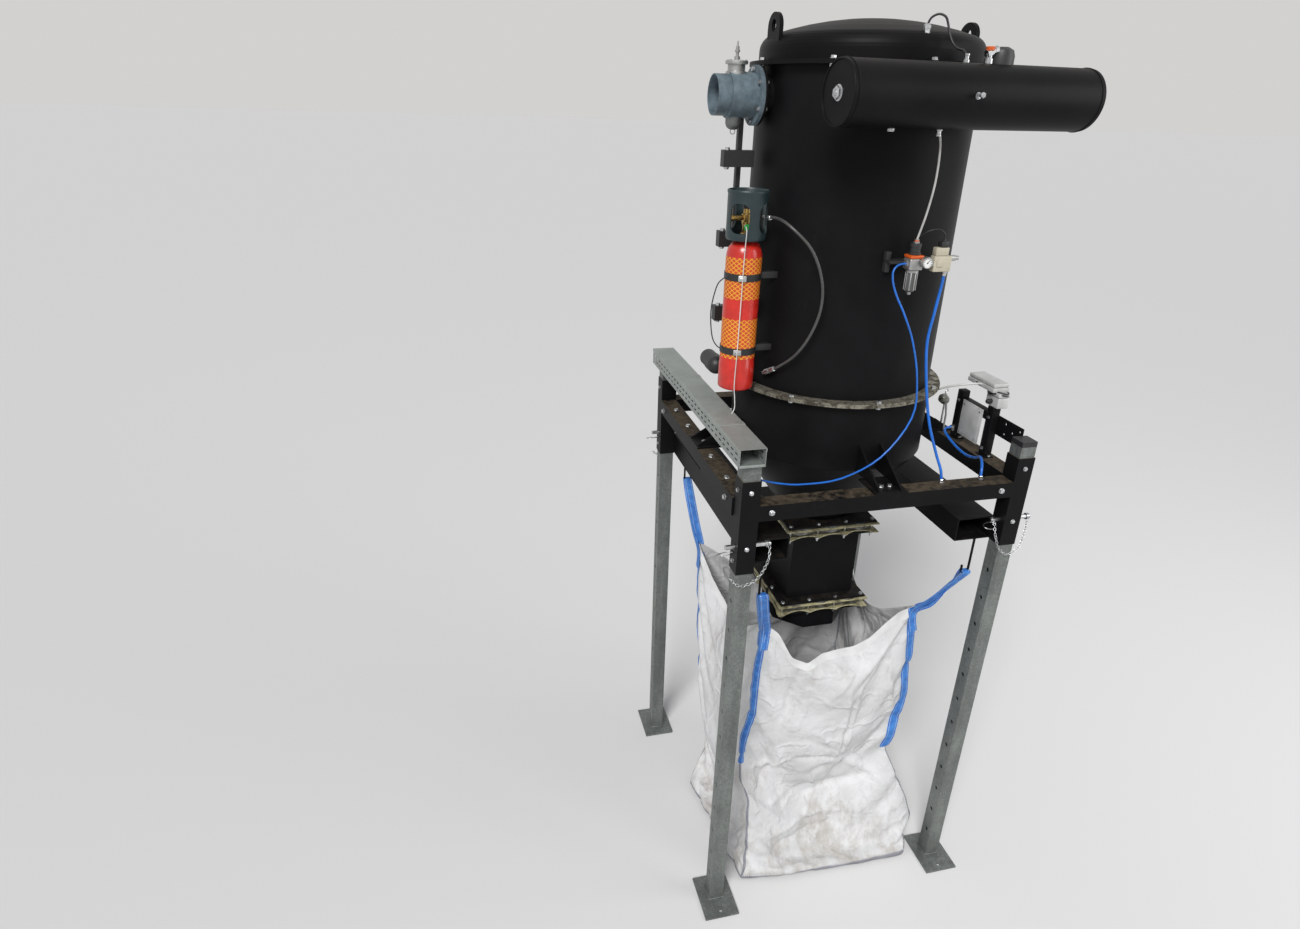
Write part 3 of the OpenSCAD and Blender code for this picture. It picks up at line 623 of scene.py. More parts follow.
def cut(piece, tool):
    """Takes a tool's shape out of a piece."""
    finished(piece, BOOLEAN={"operation": "DIFFERENCE", "object": tool, "solver": "EXACT"})
    bpy.data.objects.remove(tool)


def thick(piece, wall, offset=-1, rounds=0):
    """Gives a sheet its wall, after an optional subdivision."""
    if rounds:
        finished(piece, SUBSURF={"levels": rounds, "render_levels": rounds})
    return finished(piece, SOLIDIFY={"thickness": wall, "offset": offset})


def new_piece(name, data):
    """Puts new mesh or curve data into the scene."""
    only()
    made = bpy.data.objects.new(name, data)
    bpy.context.collection.objects.link(made)
    return made


def sheet(name, verts, faces):
    """A mesh piece from its points and faces."""
    data = bpy.data.meshes.new(name)
    data.from_pydata([tuple(v) for v in verts], [], faces)
    return new_piece(name, data)


def wrapped(columns, rows):
    """The faces between rows of points that close round into a ring."""
    return [(row * columns + k, row * columns + (k + 1) % columns, (row + 1) * columns + (k + 1) % columns,
             (row + 1) * columns + k) for row in range(rows) for k in range(columns)]


def corners_of(mesh):
    """Each polygon of a mesh with its loops and points."""
    for polygon in mesh.polygons:
        for loop, index in zip(polygon.loop_indices, polygon.vertices):
            yield polygon, loop, index


def unwrap(piece, spot):
    """Gives a piece its UV map, from a function of the polygon and the point."""
    layer = piece.data.uv_layers.new(name="UVMap").data
    for polygon, loop, index in corners_of(piece.data):
        layer[loop].uv = spot(polygon, index)
    return piece


def bend(a, b, c, d, t):
    """The point between b and c on the smooth line through the four points."""
    square, cube = 2 * a - 5 * b + 4 * c - d, 3 * b - a - 3 * c + d
    return 0.5 * (2 * b + (c - a) * t + square * t * t + cube * t ** 3)


def smooth_line(points, steps):
    """The smooth line through the points, with so many steps between neighbours."""
    p = [Vector(point) for point in points]
    last = len(p) - 1
    line = [bend(p[max(i - 1, 0)], p[i], p[i + 1], p[min(i + 2, last)], k / steps)
            for i in range(last) for k in range(steps)]
    return line + [p[last]]


def circle(count, place, turn=2 * math.pi):
    """A place for each of so many even steps of a turn."""
    return [place(turn * k / count) for k in range(count)]


def hose(name, line, diameter):
    """A round hose along a line, as a curve of one open spline."""
    data = bpy.data.curves.new(name, "CURVE")
    data.dimensions = "3D"
    data.bevel_depth = diameter / 2
    data.bevel_resolution = 4
    data.use_fill_caps = True
    spline = data.splines.new("POLY")
    spline.points.add(len(line) - 1)
    for point, place in zip(spline.points, line):
        point.co = (*place, 1)
    return new_piece(name, data)


def tube(line, diameter, cyclic=False, sides=4):
    """A round bar or wire along a line, as a mesh."""
    made = hose("wire", line, diameter)
    made.data.bevel_resolution = sides
    made.data.splines[0].use_cyclic_u = cyclic
    only(made)
    bpy.ops.object.convert(target="MESH")
    return smooth(bpy.context.object, 60)


def oval(long, wide, wire):
    """An oval ring of wire, its long way along Z."""
    return tube(circle(16, lambda t: (wide * math.sin(t), 0, long * math.cos(t))), wire, True, 2)


def hexagon_bolt(width, shank=0.0):
    """A hexagon head on its washer, standing on Z = 0, with a threaded end below if asked."""
    base = 0.14 * width
    high = base + 0.42 * width
    washer = turned([(0.66 * width, 0), (0.66 * width, base)], 20)
    head = turned([(0.577 * width, base), (0.577 * width, 0.9 * high), (0.49 * width, high)], 6, 20)
    pieces = [washer, head]
    if shank:
        thread = [(0.27 * width, -shank), (0.31 * width, 0.1 * width - shank), (0.31 * width, 0)]
        pieces.append(turned(thread, 12))
    return join(*pieces)


def hand_over(piece, name, slot, material=None, replaces=()):
    """Names a finished piece, gives it its material, and sets it on the part."""
    piece.name = name
    piece.data.name = name
    piece.data.materials.clear()
    piece.data.materials.append(finish(material or slot))
    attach(piece, "root")
    if replaces:
        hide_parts(*replaces)
    return piece


def free_cord(name, line, diameter, slot, material, replaces=()):
    """A hose or wire along a line."""
    made = hand_over(hose(name, line, diameter), name, slot, material, replaces)
    run = sum((b - a).length for a, b in zip(line, line[1:]))
    tuple(line[0])


# Route points of the hoses, in metres, the same as those of the solids
ROUTES = {
    "bottle_hose": (
        (-0.458, -0.183, 3.324), (-0.44, -0.262, 3.33), (-0.41, -0.33, 3.306), (-0.34, -0.382, 3.23),
        (-0.296, -0.408, 3.12), (-0.286, -0.41, 3.01), (-0.306, -0.39, 2.9), (-0.345, -0.348, 2.8),
        (-0.39, -0.27, 2.722), (-0.411, -0.22, 2.692)),
    "regulator_hose": (
        (-0.006, -0.52, 3.194), (-0.022, -0.52, 3.194), (-0.042, -0.521, 3.189), (-0.057, -0.523, 3.174),
        (-0.062, -0.527, 3.154), (-0.057, -0.533, 3.12), (-0.036, -0.54, 3.07), (0.002, -0.547, 3.004),
        (0.06, -0.546, 2.89), (0.108, -0.546, 2.73), (0.104, -0.56, 2.57), (-0.018, -0.574, 2.41),
        (-0.193, -0.582, 2.33), (-0.36, -0.58, 2.318), (-0.45, -0.57, 2.324), (-0.51, -0.552, 2.332),
        (-0.543, -0.534, 2.336), (-0.567, -0.515, 2.335), (-0.584, -0.5, 2.329), (-0.596, -0.49, 2.313),
        (-0.6, -0.486, 2.291)),
    "valve_hose": (
        (0.172, -0.506, 3.16), (0.171, -0.506, 3.11), (0.162, -0.504, 3), (0.15, -0.508, 2.87),
        (0.166, -0.53, 2.7), (0.196, -0.552, 2.54), (0.236, -0.58, 2.41), (0.26, -0.602, 2.336),
        (0.266, -0.61, 2.283)),
    "beam_hose": (
        (0.6, -0.17, 2.345), (0.581, -0.171, 2.345), (0.553, -0.179, 2.343), (0.533, -0.199, 2.339),
        (0.526, -0.226, 2.333), (0.524, -0.27, 2.32), (0.522, -0.34, 2.306), (0.52, -0.41, 2.304),
        (0.513, -0.476, 2.322), (0.502, -0.516, 2.344), (0.487, -0.549, 2.353), (0.472, -0.58, 2.344),
        (0.46, -0.603, 2.319), (0.456, -0.611, 2.283)),
    "lid_hose": (
        (0, -0.404, 3.988), (0.001, -0.405, 4.006), (0.009, -0.411, 4.026), (0.028, -0.425, 4.036),
        (0.047, -0.438, 4.027), (0.056, -0.444, 4.006), (0.061, -0.452, 3.98), (0.067, -0.463, 3.956),
        (0.073, -0.477, 3.938), (0.078, -0.494, 3.927), (0.08, -0.513, 3.923), (0.08, -0.533, 3.917),
        (0.08, -0.548, 3.903), (0.08, -0.554, 3.882)),
    "riser_hose": (
        (0.036, -0.528, 3.672), (0.052, -0.528, 3.6), (0.056, -0.526, 3.49), (0.044, -0.522, 3.38),
        (0.022, -0.52, 3.284)),
}
# Smooth steps between two route points, thick or thin, slot, material, stiffness and lay of each hose
HOSES = {
    "bottle_hose": (6, "air", "black_rubber", "braided_hose", "stiff", "hanging"),
    "regulator_hose": (4, "thin", "blue_hose", "blue_hose", "medium", "hanging"),
    "valve_hose": (8, "air", "blue_hose", "blue_hose", "medium", "hanging"),
    "beam_hose": (5, "air", "blue_hose", "blue_hose", "medium", "hanging"),
    "lid_hose": (4, "thin", "black_rubber", "black_rubber", "medium", "loose"),
    "riser_hose": (6, "thin", "grey_hose", "grey_hose", "medium", "hanging"),
}


def route_end(name, index):
    return Vector(ROUTES[name][index])


# Turns of the camera in degrees: down, to the right, and about its own line of sight
CAMERA_TURNS = (24.563, 14.194, 1.501)
CAMERA_PLACE = (-1.68987, -3.26366, 3.72779)
LAMPS_LOOK_AT = Vector((0, 0, 2.2))
# How light the surround looks beside the floor, so that the far floor runs into it
BACKDROP_LIGHTNESS = 0.918


class TOWER_OT_stage(bpy.types.Operator):
    """Adds the floor, the lamps, the even surround and the camera"""
    bl_idname = "tower.stage"
    bl_label = "Stage and camera"

    def execute(self, context):
        s = context.scene.tower_stage
        context.scene.view_settings.view_transform = "Standard"
        only()
        bpy.ops.mesh.primitive_plane_add(size=600, location=(0, 0, 0))
        floor = settle(context.object)
        floor.name = "floor"
        f = Finish("floor_card", Specular_IOR_Level=0.2, Base_Color=tuple(s.floor), Roughness=0.9)
        floor.data.materials.append(f.material)
        context.scene.world = self.surround(s)
        sun = self.lamp("key", "SUN", (-3.4, -5.0, 7.5), s.key)
        sun.angle = math.radians(22)
        self.lamp("fill", "AREA", (5.5, -3.5, 5.0), s.fill).size = 4
        self.camera(context, s.lens)
        return {"FINISHED"}

    def surround(self, s):
        """Even light around, and a plain backdrop where the camera, gloss or glass looks past the floor."""
        world = bpy.data.worlds.new("surround")
        world.use_nodes = True
        tree = world.node_tree
        back = tree.nodes["Background"]
        back.inputs["Color"].default_value = (0.94, 0.96, 1, 1)
        back.inputs["Strength"].default_value = s.sky
        seen = tree.nodes.new("ShaderNodeBackground")
        seen.inputs["Color"].default_value = (*shade(s.floor, BACKDROP_LIGHTNESS), 1)
        path = tree.nodes.new("ShaderNodeLightPath")
        both = tree.nodes.new("ShaderNodeMixShader")
        rays = path.outputs["Is Camera Ray"]
        for kind in ("Is Glossy Ray", "Is Transmission Ray"):
            either = tree.nodes.new("ShaderNodeMath")
            either.operation = "MAXIMUM"
            tree.links.new(rays, either.inputs[0])
            tree.links.new(path.outputs[kind], either.inputs[1])
            rays = either.outputs[0]
        for socket, source in enumerate((rays, back.outputs[0], seen.outputs[0])):
            tree.links.new(source, both.inputs[socket])
        tree.links.new(both.outputs[0], tree.nodes["World Output"].inputs[0])
        return world

    def lamp(self, name, kind, place, power):
        data = bpy.data.lights.new(name, kind)
        data.energy = power
        lamp = new_piece(name, data)
        lamp.location = place
        lamp.rotation_euler = (LAMPS_LOOK_AT - Vector(place)).to_track_quat("-Z", "Y").to_euler()
        return data

    def camera(self, context, lens):
        pitch, yaw, roll = (math.radians(a) for a in CAMERA_TURNS)
        ahead = Vector((math.sin(yaw) * math.cos(pitch), math.cos(yaw) * math.cos(pitch), -math.sin(pitch)))
        level = Vector((math.cos(yaw), -math.sin(yaw), 0))
        above = level.cross(ahead)
        right = math.cos(roll) * level + math.sin(roll) * above
        top = math.cos(roll) * above - math.sin(roll) * level
        data = bpy.data.cameras.new("camera")
        data.sensor_width = 36
        data.lens = lens
        data.clip_end = 200
        made = new_piece("camera", data)
        turn = Matrix((right, top, -ahead)).transposed().to_4x4()
        made.matrix_world = Matrix.Translation(CAMERA_PLACE) @ turn
        context.scene.camera = made


class TOWER_OT_hoses(bpy.types.Operator):
    """Adds the air hoses and the bottle's hose along their routes"""
    bl_idname = "tower.hoses"
    bl_label = "Hoses"

    def execute(self, context):
        for name, (steps, size, slot, material, stiffness, lay) in HOSES.items():
            line = smooth_line(ROUTES[name], steps)
            diameter = getattr(context.scene.tower_hoses, size)
            free_cord(name + "_run", line, diameter, slot, material, (name,))
        return {"FINISHED"}


# Corners of the bag from the ground up, in metres: the heights, then X and Y of each corner there
BAG_HEIGHTS = (0, 0.07, 0.19, 0.31, 0.46, 0.58, 0.69, 0.82, 1.0, 1.25, 1.54)
BAG_CORNERS = {
    "front_left": ((-0.466, -0.597), (-0.452, -0.586), (-0.438, -0.555), (-0.43, -0.52), (-0.424, -0.485),
                   (-0.455, -0.435), (-0.452, -0.405), (-0.446, -0.41), (-0.416, -0.422), (-0.422, -0.438),
                   (-0.41, -0.448)),
    "front_right": ((0.461, -0.655), (0.488, -0.60), (0.53, -0.54), (0.515, -0.505), (0.46, -0.452),
                    (0.412, -0.405), (0.428, -0.415), (0.434, -0.425), (0.43, -0.44), (0.405, -0.455),
                    (0.374, -0.462)),
    "back_right": ((0.47, 0.25), (0.485, 0.25), (0.48, 0.265), (0.46, 0.28), (0.43, 0.30), (0.42, 0.30),
                   (0.425, 0.305), (0.43, 0.31), (0.43, 0.32), (0.42, 0.328), (0.41, 0.33)),
    "back_left": ((-0.548, 0.085), (-0.53, 0.11), (-0.45, 0.17), (-0.412, 0.205), (-0.436, 0.262),
                  (-0.448, 0.285), (-0.456, 0.30), (-0.466, 0.31), (-0.478, 0.325), (-0.488, 0.333),
                  (-0.495, 0.335)),
}
# How far the rim hangs below its corners along each side, and how far each side stands out at the heights
BAG_RIMS = (
    (0, 0.06, 0.20, 0.235, 0.19, 0.175, 0.165, 0.13, 0.07, 0.02, 0),
    (0, 0.05, 0.10, 0.15, 0.17, 0.175, 0.17, 0.14, 0.10, 0.05, 0),
    (0, 0.04, 0.09, 0.14, 0.16, 0.17, 0.16, 0.14, 0.10, 0.05, 0),
    (0, 0.06, 0.12, 0.16, 0.19, 0.20, 0.18, 0.15, 0.09, 0.04, 0),
)
BAG_BULGES = (
    (0.01, 0.05, 0.075, 0.06, 0.0, -0.055, -0.03, -0.02, -0.02, -0.015, -0.03),
    (0.0, 0.02, 0.03, 0.02, 0.0, -0.02, -0.01, 0.0, 0.0, 0.0, -0.02),
    (0.0, 0.03, 0.04, 0.03, 0.0, -0.03, -0.02, -0.01, -0.01, -0.01, -0.02),
    (-0.01, 0.01, 0.04, 0.03, -0.01, -0.03, -0.01, 0.0, 0.01, 0.0, -0.02),
)
# Columns of points along one side and round the whole bag, and rows from the ground to the rim
BAG_COLUMNS = 40
BAG_ROUND = 4 * BAG_COLUMNS
BAG_ROWS = 70
# Frames and settings of the cloth simulation
BAG_FRAMES = 30
BAG_CLOTH = {
    "quality": 6, "mass": 0.25, "tension_stiffness": 30, "compression_stiffness": 30, "shear_stiffness": 12,
    "bending_stiffness": 1.2, "vertex_group_mass": "held", "pin_stiffness": 2, "shrink_min": -0.045,
}
# Lift of the hem and of the sewn webbing off the cloth, thickness of each, and width of the webbing
CLOTH_WALL = 0.0016
HEM_LIFT, HEM_WALL = 0.0028, 0.0022
WEBBING_LIFT, WEBBING_WALL, WEBBING_WIDTH = 0.0045, 0.003, 0.042
# Share of the bag's height at which the webbing of each side's first corner begins
WEBBING_FEET = (0.43, 0.39, 0.39, 0.39)
# Radii of the hook rods, of the bend at their feet, and the rise of their tips
HOOK_RADIUS, HOOK_BEND, HOOK_TIP = 0.0055, 0.018, 0.022


def along(values, t):
    """The value at t from 0 to 1 along an evenly spaced row of values."""
    spot = min(max(t, 0), 1) * (len(values) - 1)
    low = min(int(spot), len(values) - 2)
    return values[low] + (values[low + 1] - values[low]) * (spot - low)


def at_height(values, z):
    """The value at a height, from values at the bag's heights."""
    for low in range(len(BAG_HEIGHTS) - 1):
        if z <= BAG_HEIGHTS[low + 1] or low == len(BAG_HEIGHTS) - 2:
            share = (z - BAG_HEIGHTS[low]) / (BAG_HEIGHTS[low + 1] - BAG_HEIGHTS[low])
            return values[low] + (values[low + 1] - values[low]) * share


def bag_point(side, across, up, chance):
    """A point of the bag's shell: across one side from corner to corner, and up from the ground."""
    rim = BAG_HEIGHTS[-1] - along(BAG_RIMS[side], across)
    z = up * rim
    corners = [[Vector(place) for place in stations] for stations in BAG_CORNERS.values()]
    first = at_height(corners[side], z)
    second = at_height(corners[(side + 1) % 4], z)
    flat = first.lerp(second, across)
    out = Vector((second - first).yx) * Vector((1, -1))
    swell = at_height(BAG_BULGES[side], z) * math.sin(math.pi * across) ** 0.8
    folds = 0.006 * math.sin(9 * across * math.pi + 5 * z + 2 * side) + chance.uniform(-0.003, 0.003)
    flat += out.normalized() * (swell + folds * math.sin(math.pi * across))
    return Vector((flat.x, flat.y, max(z, 0.004)))


def bag_shell():
    """The bag's sides and base as one sheet, with its seams and heights as UV."""
    chance = random.Random(4)
    verts = [bag_point(k // BAG_COLUMNS, (k % BAG_COLUMNS) / BAG_COLUMNS, row / BAG_ROWS, chance)
             for row in range(BAG_ROWS + 1) for k in range(BAG_ROUND)]
    faces = wrapped(BAG_ROUND, BAG_ROWS)
    inner = len(verts)
    middle = sum(verts[:BAG_ROUND], Vector()) / BAG_ROUND
    verts += [v.lerp(middle, 0.5) for v in verts[:BAG_ROUND]] + [middle]
    nexts = [(k, (k + 1) % BAG_ROUND) for k in range(BAG_ROUND)]
    faces += [(k, inner + k, inner + after, after) for k, after in nexts]
    faces += [(inner + k, inner + BAG_ROUND, inner + after) for k, after in nexts]

    def spot(polygon, index):
        if index >= inner:
            return (0.5, 0)
        row, k = divmod(index, BAG_ROUND)
        if k == 0 and polygon.vertices[0] % BAG_ROUND == BAG_ROUND - 1:
            k = BAG_ROUND
        return (k / BAG_COLUMNS, row / BAG_ROWS)
    return unwrap(sheet("bag", verts, faces), spot)


def hang(bag):
    """Lets the bag's cloth sag from its corners as a cloth simulation, and keeps the result."""
    held = bag.vertex_groups.new(name="held")
    for index in range(len(bag.data.vertices)):
        row, k = divmod(index, BAG_ROUND)
        near = min(k % BAG_COLUMNS, BAG_COLUMNS - k % BAG_COLUMNS)
        if row == 0 or row > BAG_ROWS:
            held.add([index], 1.0, "REPLACE")
        elif near <= 1:
            held.add([index], 0.75 if row > BAG_ROWS - 3 else 0.35, "REPLACE")
    ground = box((-2, -2, -0.1), (2, 2, 0.001))
    ground.modifiers.new("Collision", "COLLISION")
    ground.collision.thickness_outer = 0.004
    modifier = bag.modifiers.new("Cloth", "CLOTH")
    for key, value in BAG_CLOTH.items():
        setattr(modifier.settings, key, value)
    modifier.point_cache.frame_start = 1
    modifier.point_cache.frame_end = BAG_FRAMES
    for step in range(1, BAG_FRAMES + 1):
        bpy.context.scene.frame_set(step)
    only(bag)
    bpy.ops.object.modifier_apply(modifier=modifier.name)
    bpy.context.scene.frame_set(1)
    bag.vertex_groups.clear()
    bpy.data.objects.remove(ground)


# Creases of the front: how far across and how high each end is, and how far the cloth stands out there
BAG_CREASES = (
    (0.56, 1.12, 0.59, 0.60, 0.013), (0.64, 1.10, 0.62, 0.62, 0.011), (0.60, 1.00, 0.605, 0.66, -0.010),
    (0.06, 1.38, 0.13, 1.02, 0.012), (0.04, 0.56, 0.32, 0.665, 0.012), (0.32, 0.665, 0.69, 0.60, -0.012),
    (0.69, 0.60, 0.98, 0.67, 0.010), (0.14, 0.20, 0.90, 0.235, 0.010), (0.35, 0.31, 0.96, 0.43, -0.009),
    (0.03, 0.40, 0.30, 0.63, -0.010), (0.62, 0.57, 0.97, 0.33, 0.011), (0.95, 1.44, 0.62, 1.10, -0.010),
    (0.28, 1.31, 0.17, 0.95, -0.009), (0.40, 0.86, 0.54, 0.72, 0.008), (0.10, 0.12, 0.60, 0.155, -0.009),
    (0.82, 1.20, 0.93, 0.80, 0.009), (0.45, 0.55, 0.50, 0.30, 0.009), (0.22, 0.60, 0.25, 0.74, 0.014),
)
CREASE_WIDTH = 0.015
CREASE_STRENGTH = 2.1
# Width of one side of the bag, in metres
SIDE_WIDTH = 0.85


def crease(bag):
    """Presses sharp creases into the cloth: those of the front as seen, and chance ones on each side."""
    chance = random.Random(11)
    creases = list(BAG_CREASES)
    for side in range(4):
        for _ in range(6 if side == 0 else 16):
            u, z, turn = chance.uniform(0.1, 0.9), chance.uniform(0.06, 1.3), chance.uniform(0, 2 * math.pi)
            half = chance.uniform(0.06, 0.2)
            reach, rise = half * math.cos(turn), half * math.sin(turn)
            high = chance.choice(SIDES) * chance.uniform(0.004, 0.009)
            creases.append((side + u - reach, z - rise, side + u + reach, z + rise, high))
    spots = {}
    layer = bag.data.uv_layers["UVMap"].data
    for _, loop, index in corners_of(bag.data):
        spots.setdefault(index, layer[loop].uv.x)
    normals = [v.normal.copy() for v in bag.data.vertices]
    for index, u in spots.items():
        v = bag.data.vertices[index]
        z = v.co.z
        if z < 0.012:
            continue
        fade = min(1, 8 * abs(u - round(u))) * min(1, z / 0.06)
        lift = 0
        for u0, z0, u1, z1, high in creases:
            du, dz, pu, pz = (u1 - u0) * SIDE_WIDTH, z1 - z0, (u - u0) * SIDE_WIDTH, z - z0
            if abs(pu) > 0.5:
                continue
            t = min(1, max(0, (du * pu + dz * pz) / (du * du + dz * dz)))
            away = math.hypot(pu - t * du, pz - t * dz)
            if away < 6 * CREASE_WIDTH:
                swell = math.exp(-away / CREASE_WIDTH) * math.sin(math.pi * (0.12 + 0.76 * t))
                lift += CREASE_STRENGTH * high * swell
        v.co += normals[index] * lift * fade
        v.co.z = max(v.co.z, 0.003)


def strip_on(grid, rows, columns, lift):
    """A band that lies on the bag over some rows and columns, lifted off it by a little."""
    verts = []
    for row in rows:
        for column in columns:
            k = column % BAG_ROUND
            up = grid[min(row + 1, BAG_ROWS)][k] - grid[max(row - 1, 0)][k]
            round_it = grid[row][(k + 1) % BAG_ROUND] - grid[row][(k - 1) % BAG_ROUND]
            verts.append(grid[row][k] + round_it.cross(up).normalized() * lift)
    wide = len(columns)
    faces = [(r * wide + c, r * wide + c + 1, (r + 1) * wide + c + 1, (r + 1) * wide + c)
             for r in range(len(rows) - 1) for c in range(wide - 1)]
    return unwrap(sheet("band", verts, faces),
                  lambda polygon, index: ((index % wide) / (wide - 1), (index // wide) * 0.027))


def webbing(line, across, width, wall):
    """A strap along a line, its width along across, with UV over its width and its length."""
    verts, ahead = [], [0]
    last = len(line) - 1
    for i, point in enumerate(line):
        onward = (line[min(i + 1, last)] - line[max(i - 1, 0)]).normalized()
        side = (across[i] - across[i].dot(onward) * onward).normalized() * width / 2
        up = side.cross(onward).normalized() * wall / 2
        verts += [point - side - up, point + side - up, point + side + up, point - side + up]
        if i:
            ahead.append(ahead[-1] + (point - line[i - 1]).length)
    faces = wrapped(4, last)
    faces += [(3, 2, 1, 0), tuple(4 * last + k for k in range(4))]
    band = edit(sheet("strap", verts, faces), outwards)
    return unwrap(band, lambda polygon, index: (1 if index % 4 in (1, 2) else 0, ahead[index // 4]))


class TOWER_OT_bag(bpy.types.Operator):
    """Adds the bulk bag, its rim tape, its webbing and the loops to the hooks"""
    bl_idname = "tower.bag"
    bl_label = "Bulk bag"

    def execute(self, context):
        bag = bag_shell()
        hang(bag)
        points = [v.co.copy() for v in bag.data.vertices]
        grid = [points[row * BAG_ROUND:(row + 1) * BAG_ROUND] for row in range(BAG_ROWS + 1)]
        finished(bag, SUBSURF={"levels": 1, "render_levels": 1})
        crease(bag)
        hand_over(smooth(thick(bag, CLOTH_WALL), 180), "bag_cloth", "woven_white", replaces=("big_bag",))
        rim = strip_on(grid, range(BAG_ROWS - 2, BAG_ROWS + 1), range(BAG_ROUND + 1), HEM_LIFT)
        hand_over(smooth(thick(rim, HEM_WALL, rounds=1), 60), "bag_rim_tape", "woven_white", "rim_tape")
        bands = []
        for side, foot in enumerate(WEBBING_FEET):
            first = side * BAG_COLUMNS - (2 if side == 1 else 1)
            rows = range(int(BAG_ROWS * foot), BAG_ROWS + 1)
            bands.append(strip_on(grid, rows, range(first, first + 3), WEBBING_LIFT))
        sewn = thick(join(*bands), WEBBING_WALL, rounds=1)
        straps = join(sewn, *[self.loop(grid, side) for side in range(4)])
        hand_over(smooth(straps, 50), "bag_webbing", "blue_webbing", replaces=("bag_straps",))
        self.hooks()
        return {"FINISHED"}

    def hooks(self):
        """The four rods under the fork pockets, each bent up at its end."""
        low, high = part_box("bag_hooks")
        bars = []
        for x in SIDES:
            for y in SIDES:
                top = Vector(((high[0] - 0.006) * x, (high[1] - 0.006) * y, high[2]))
                foot = Vector((top.x, top.y, low[2] + 0.012))
                arc = [foot + HOOK_BEND * Vector((-x * (1 - math.cos(t)), 0, -math.sin(t)))
                       for t in (math.pi * k / 10 for k in range(11))]
                line = [top, foot.lerp(top, 0.5), *arc, arc[-1] + UP * HOOK_TIP]
                bars.append(tube(line, 2 * HOOK_RADIUS))
        hand_over(join(*bars), "hook_rods", "black_paint", replaces=("bag_hooks",))

    def loop(self, grid, side):
        """The doubled loop from the rim at one corner up over its hook and back."""
        low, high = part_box("bag_hooks")
        corner = side * BAG_COLUMNS
        x, y = (1 if side in (1, 2) else -1), (1 if side > 1 else -1)
        hook = Vector(((high[0] - 0.024) * x, (high[1] - 0.006) * y, low[2] - 0.004))
        turn = -1 if side in (1, 3) else 1
        ends = []
        for column, lift in ((corner + turn, 0.010), (corner - turn, 0.008)):
            below, rim = (grid[row][column % BAG_ROUND] for row in (BAG_ROWS - 6, BAG_ROWS - 1))
            out = Vector((rim.x, rim.y + 0.06, 0)).normalized() * lift
            ends.append((below + out, rim + out))
        (a, b), (c, d) = ends
        near, far = hook + Vector((0, -0.015, 0)), hook + Vector((0, 0.015, 0))
        line = smooth_line([a, b, b.lerp(near, 0.4) - UP * 0.006, b.lerp(near, 0.8) - UP * 0.002,
                            near + UP * 0.002, hook + UP * 0.0105, far + UP * 0.002,
                            d.lerp(far, 0.8) - UP * 0.020, d.lerp(far, 0.4) - UP * 0.044, d, c], 8)
        level, inward = Vector(RIGHT), Vector((0, x, 0))
        across = []
        for k in range(len(line)):
            t = min(1, max(0, (k / (len(line) - 1) - 0.55) / 0.3))
            across.append(level.lerp(inward, t * t * (3 - 2 * t)).normalized())
        return webbing(line, across, WEBBING_WIDTH, WEBBING_WALL)


def around(radius, height, count, first, towards=UP):
    """Places at even angles about the vessel's axis, from a first angle in degrees."""
    angles = [math.radians(first + 360 * k / count) for k in range(count)]
    return [aim((radius * math.cos(a), radius * math.sin(a), height), towards, a) for a in angles]


# Half the way between the outer bolts of a chute joint, and the way from one bolt to the next
SEAL_BOLT_EDGE = 0.213
SEAL_BOLT_PITCH = 0.142
# Reach of a lip's four rows of points, how far each draws in between bolts, and how far each lifts there
LIP_REACH = (0.176, 0.205, 0.226, 0.2415)
LIP_DRAW = (0, 0, 0.005, 0.013)
LIP_LIFT = (0, 0.001, 0.007, 0.011)
# Reach of the strip at the bolts, how far it bows out between them, and how far each row stands out
BAND_REACH = 0.202
BAND_BOW = 0.019
BAND_ROWS = (0, 0.005, 0.005, 0)


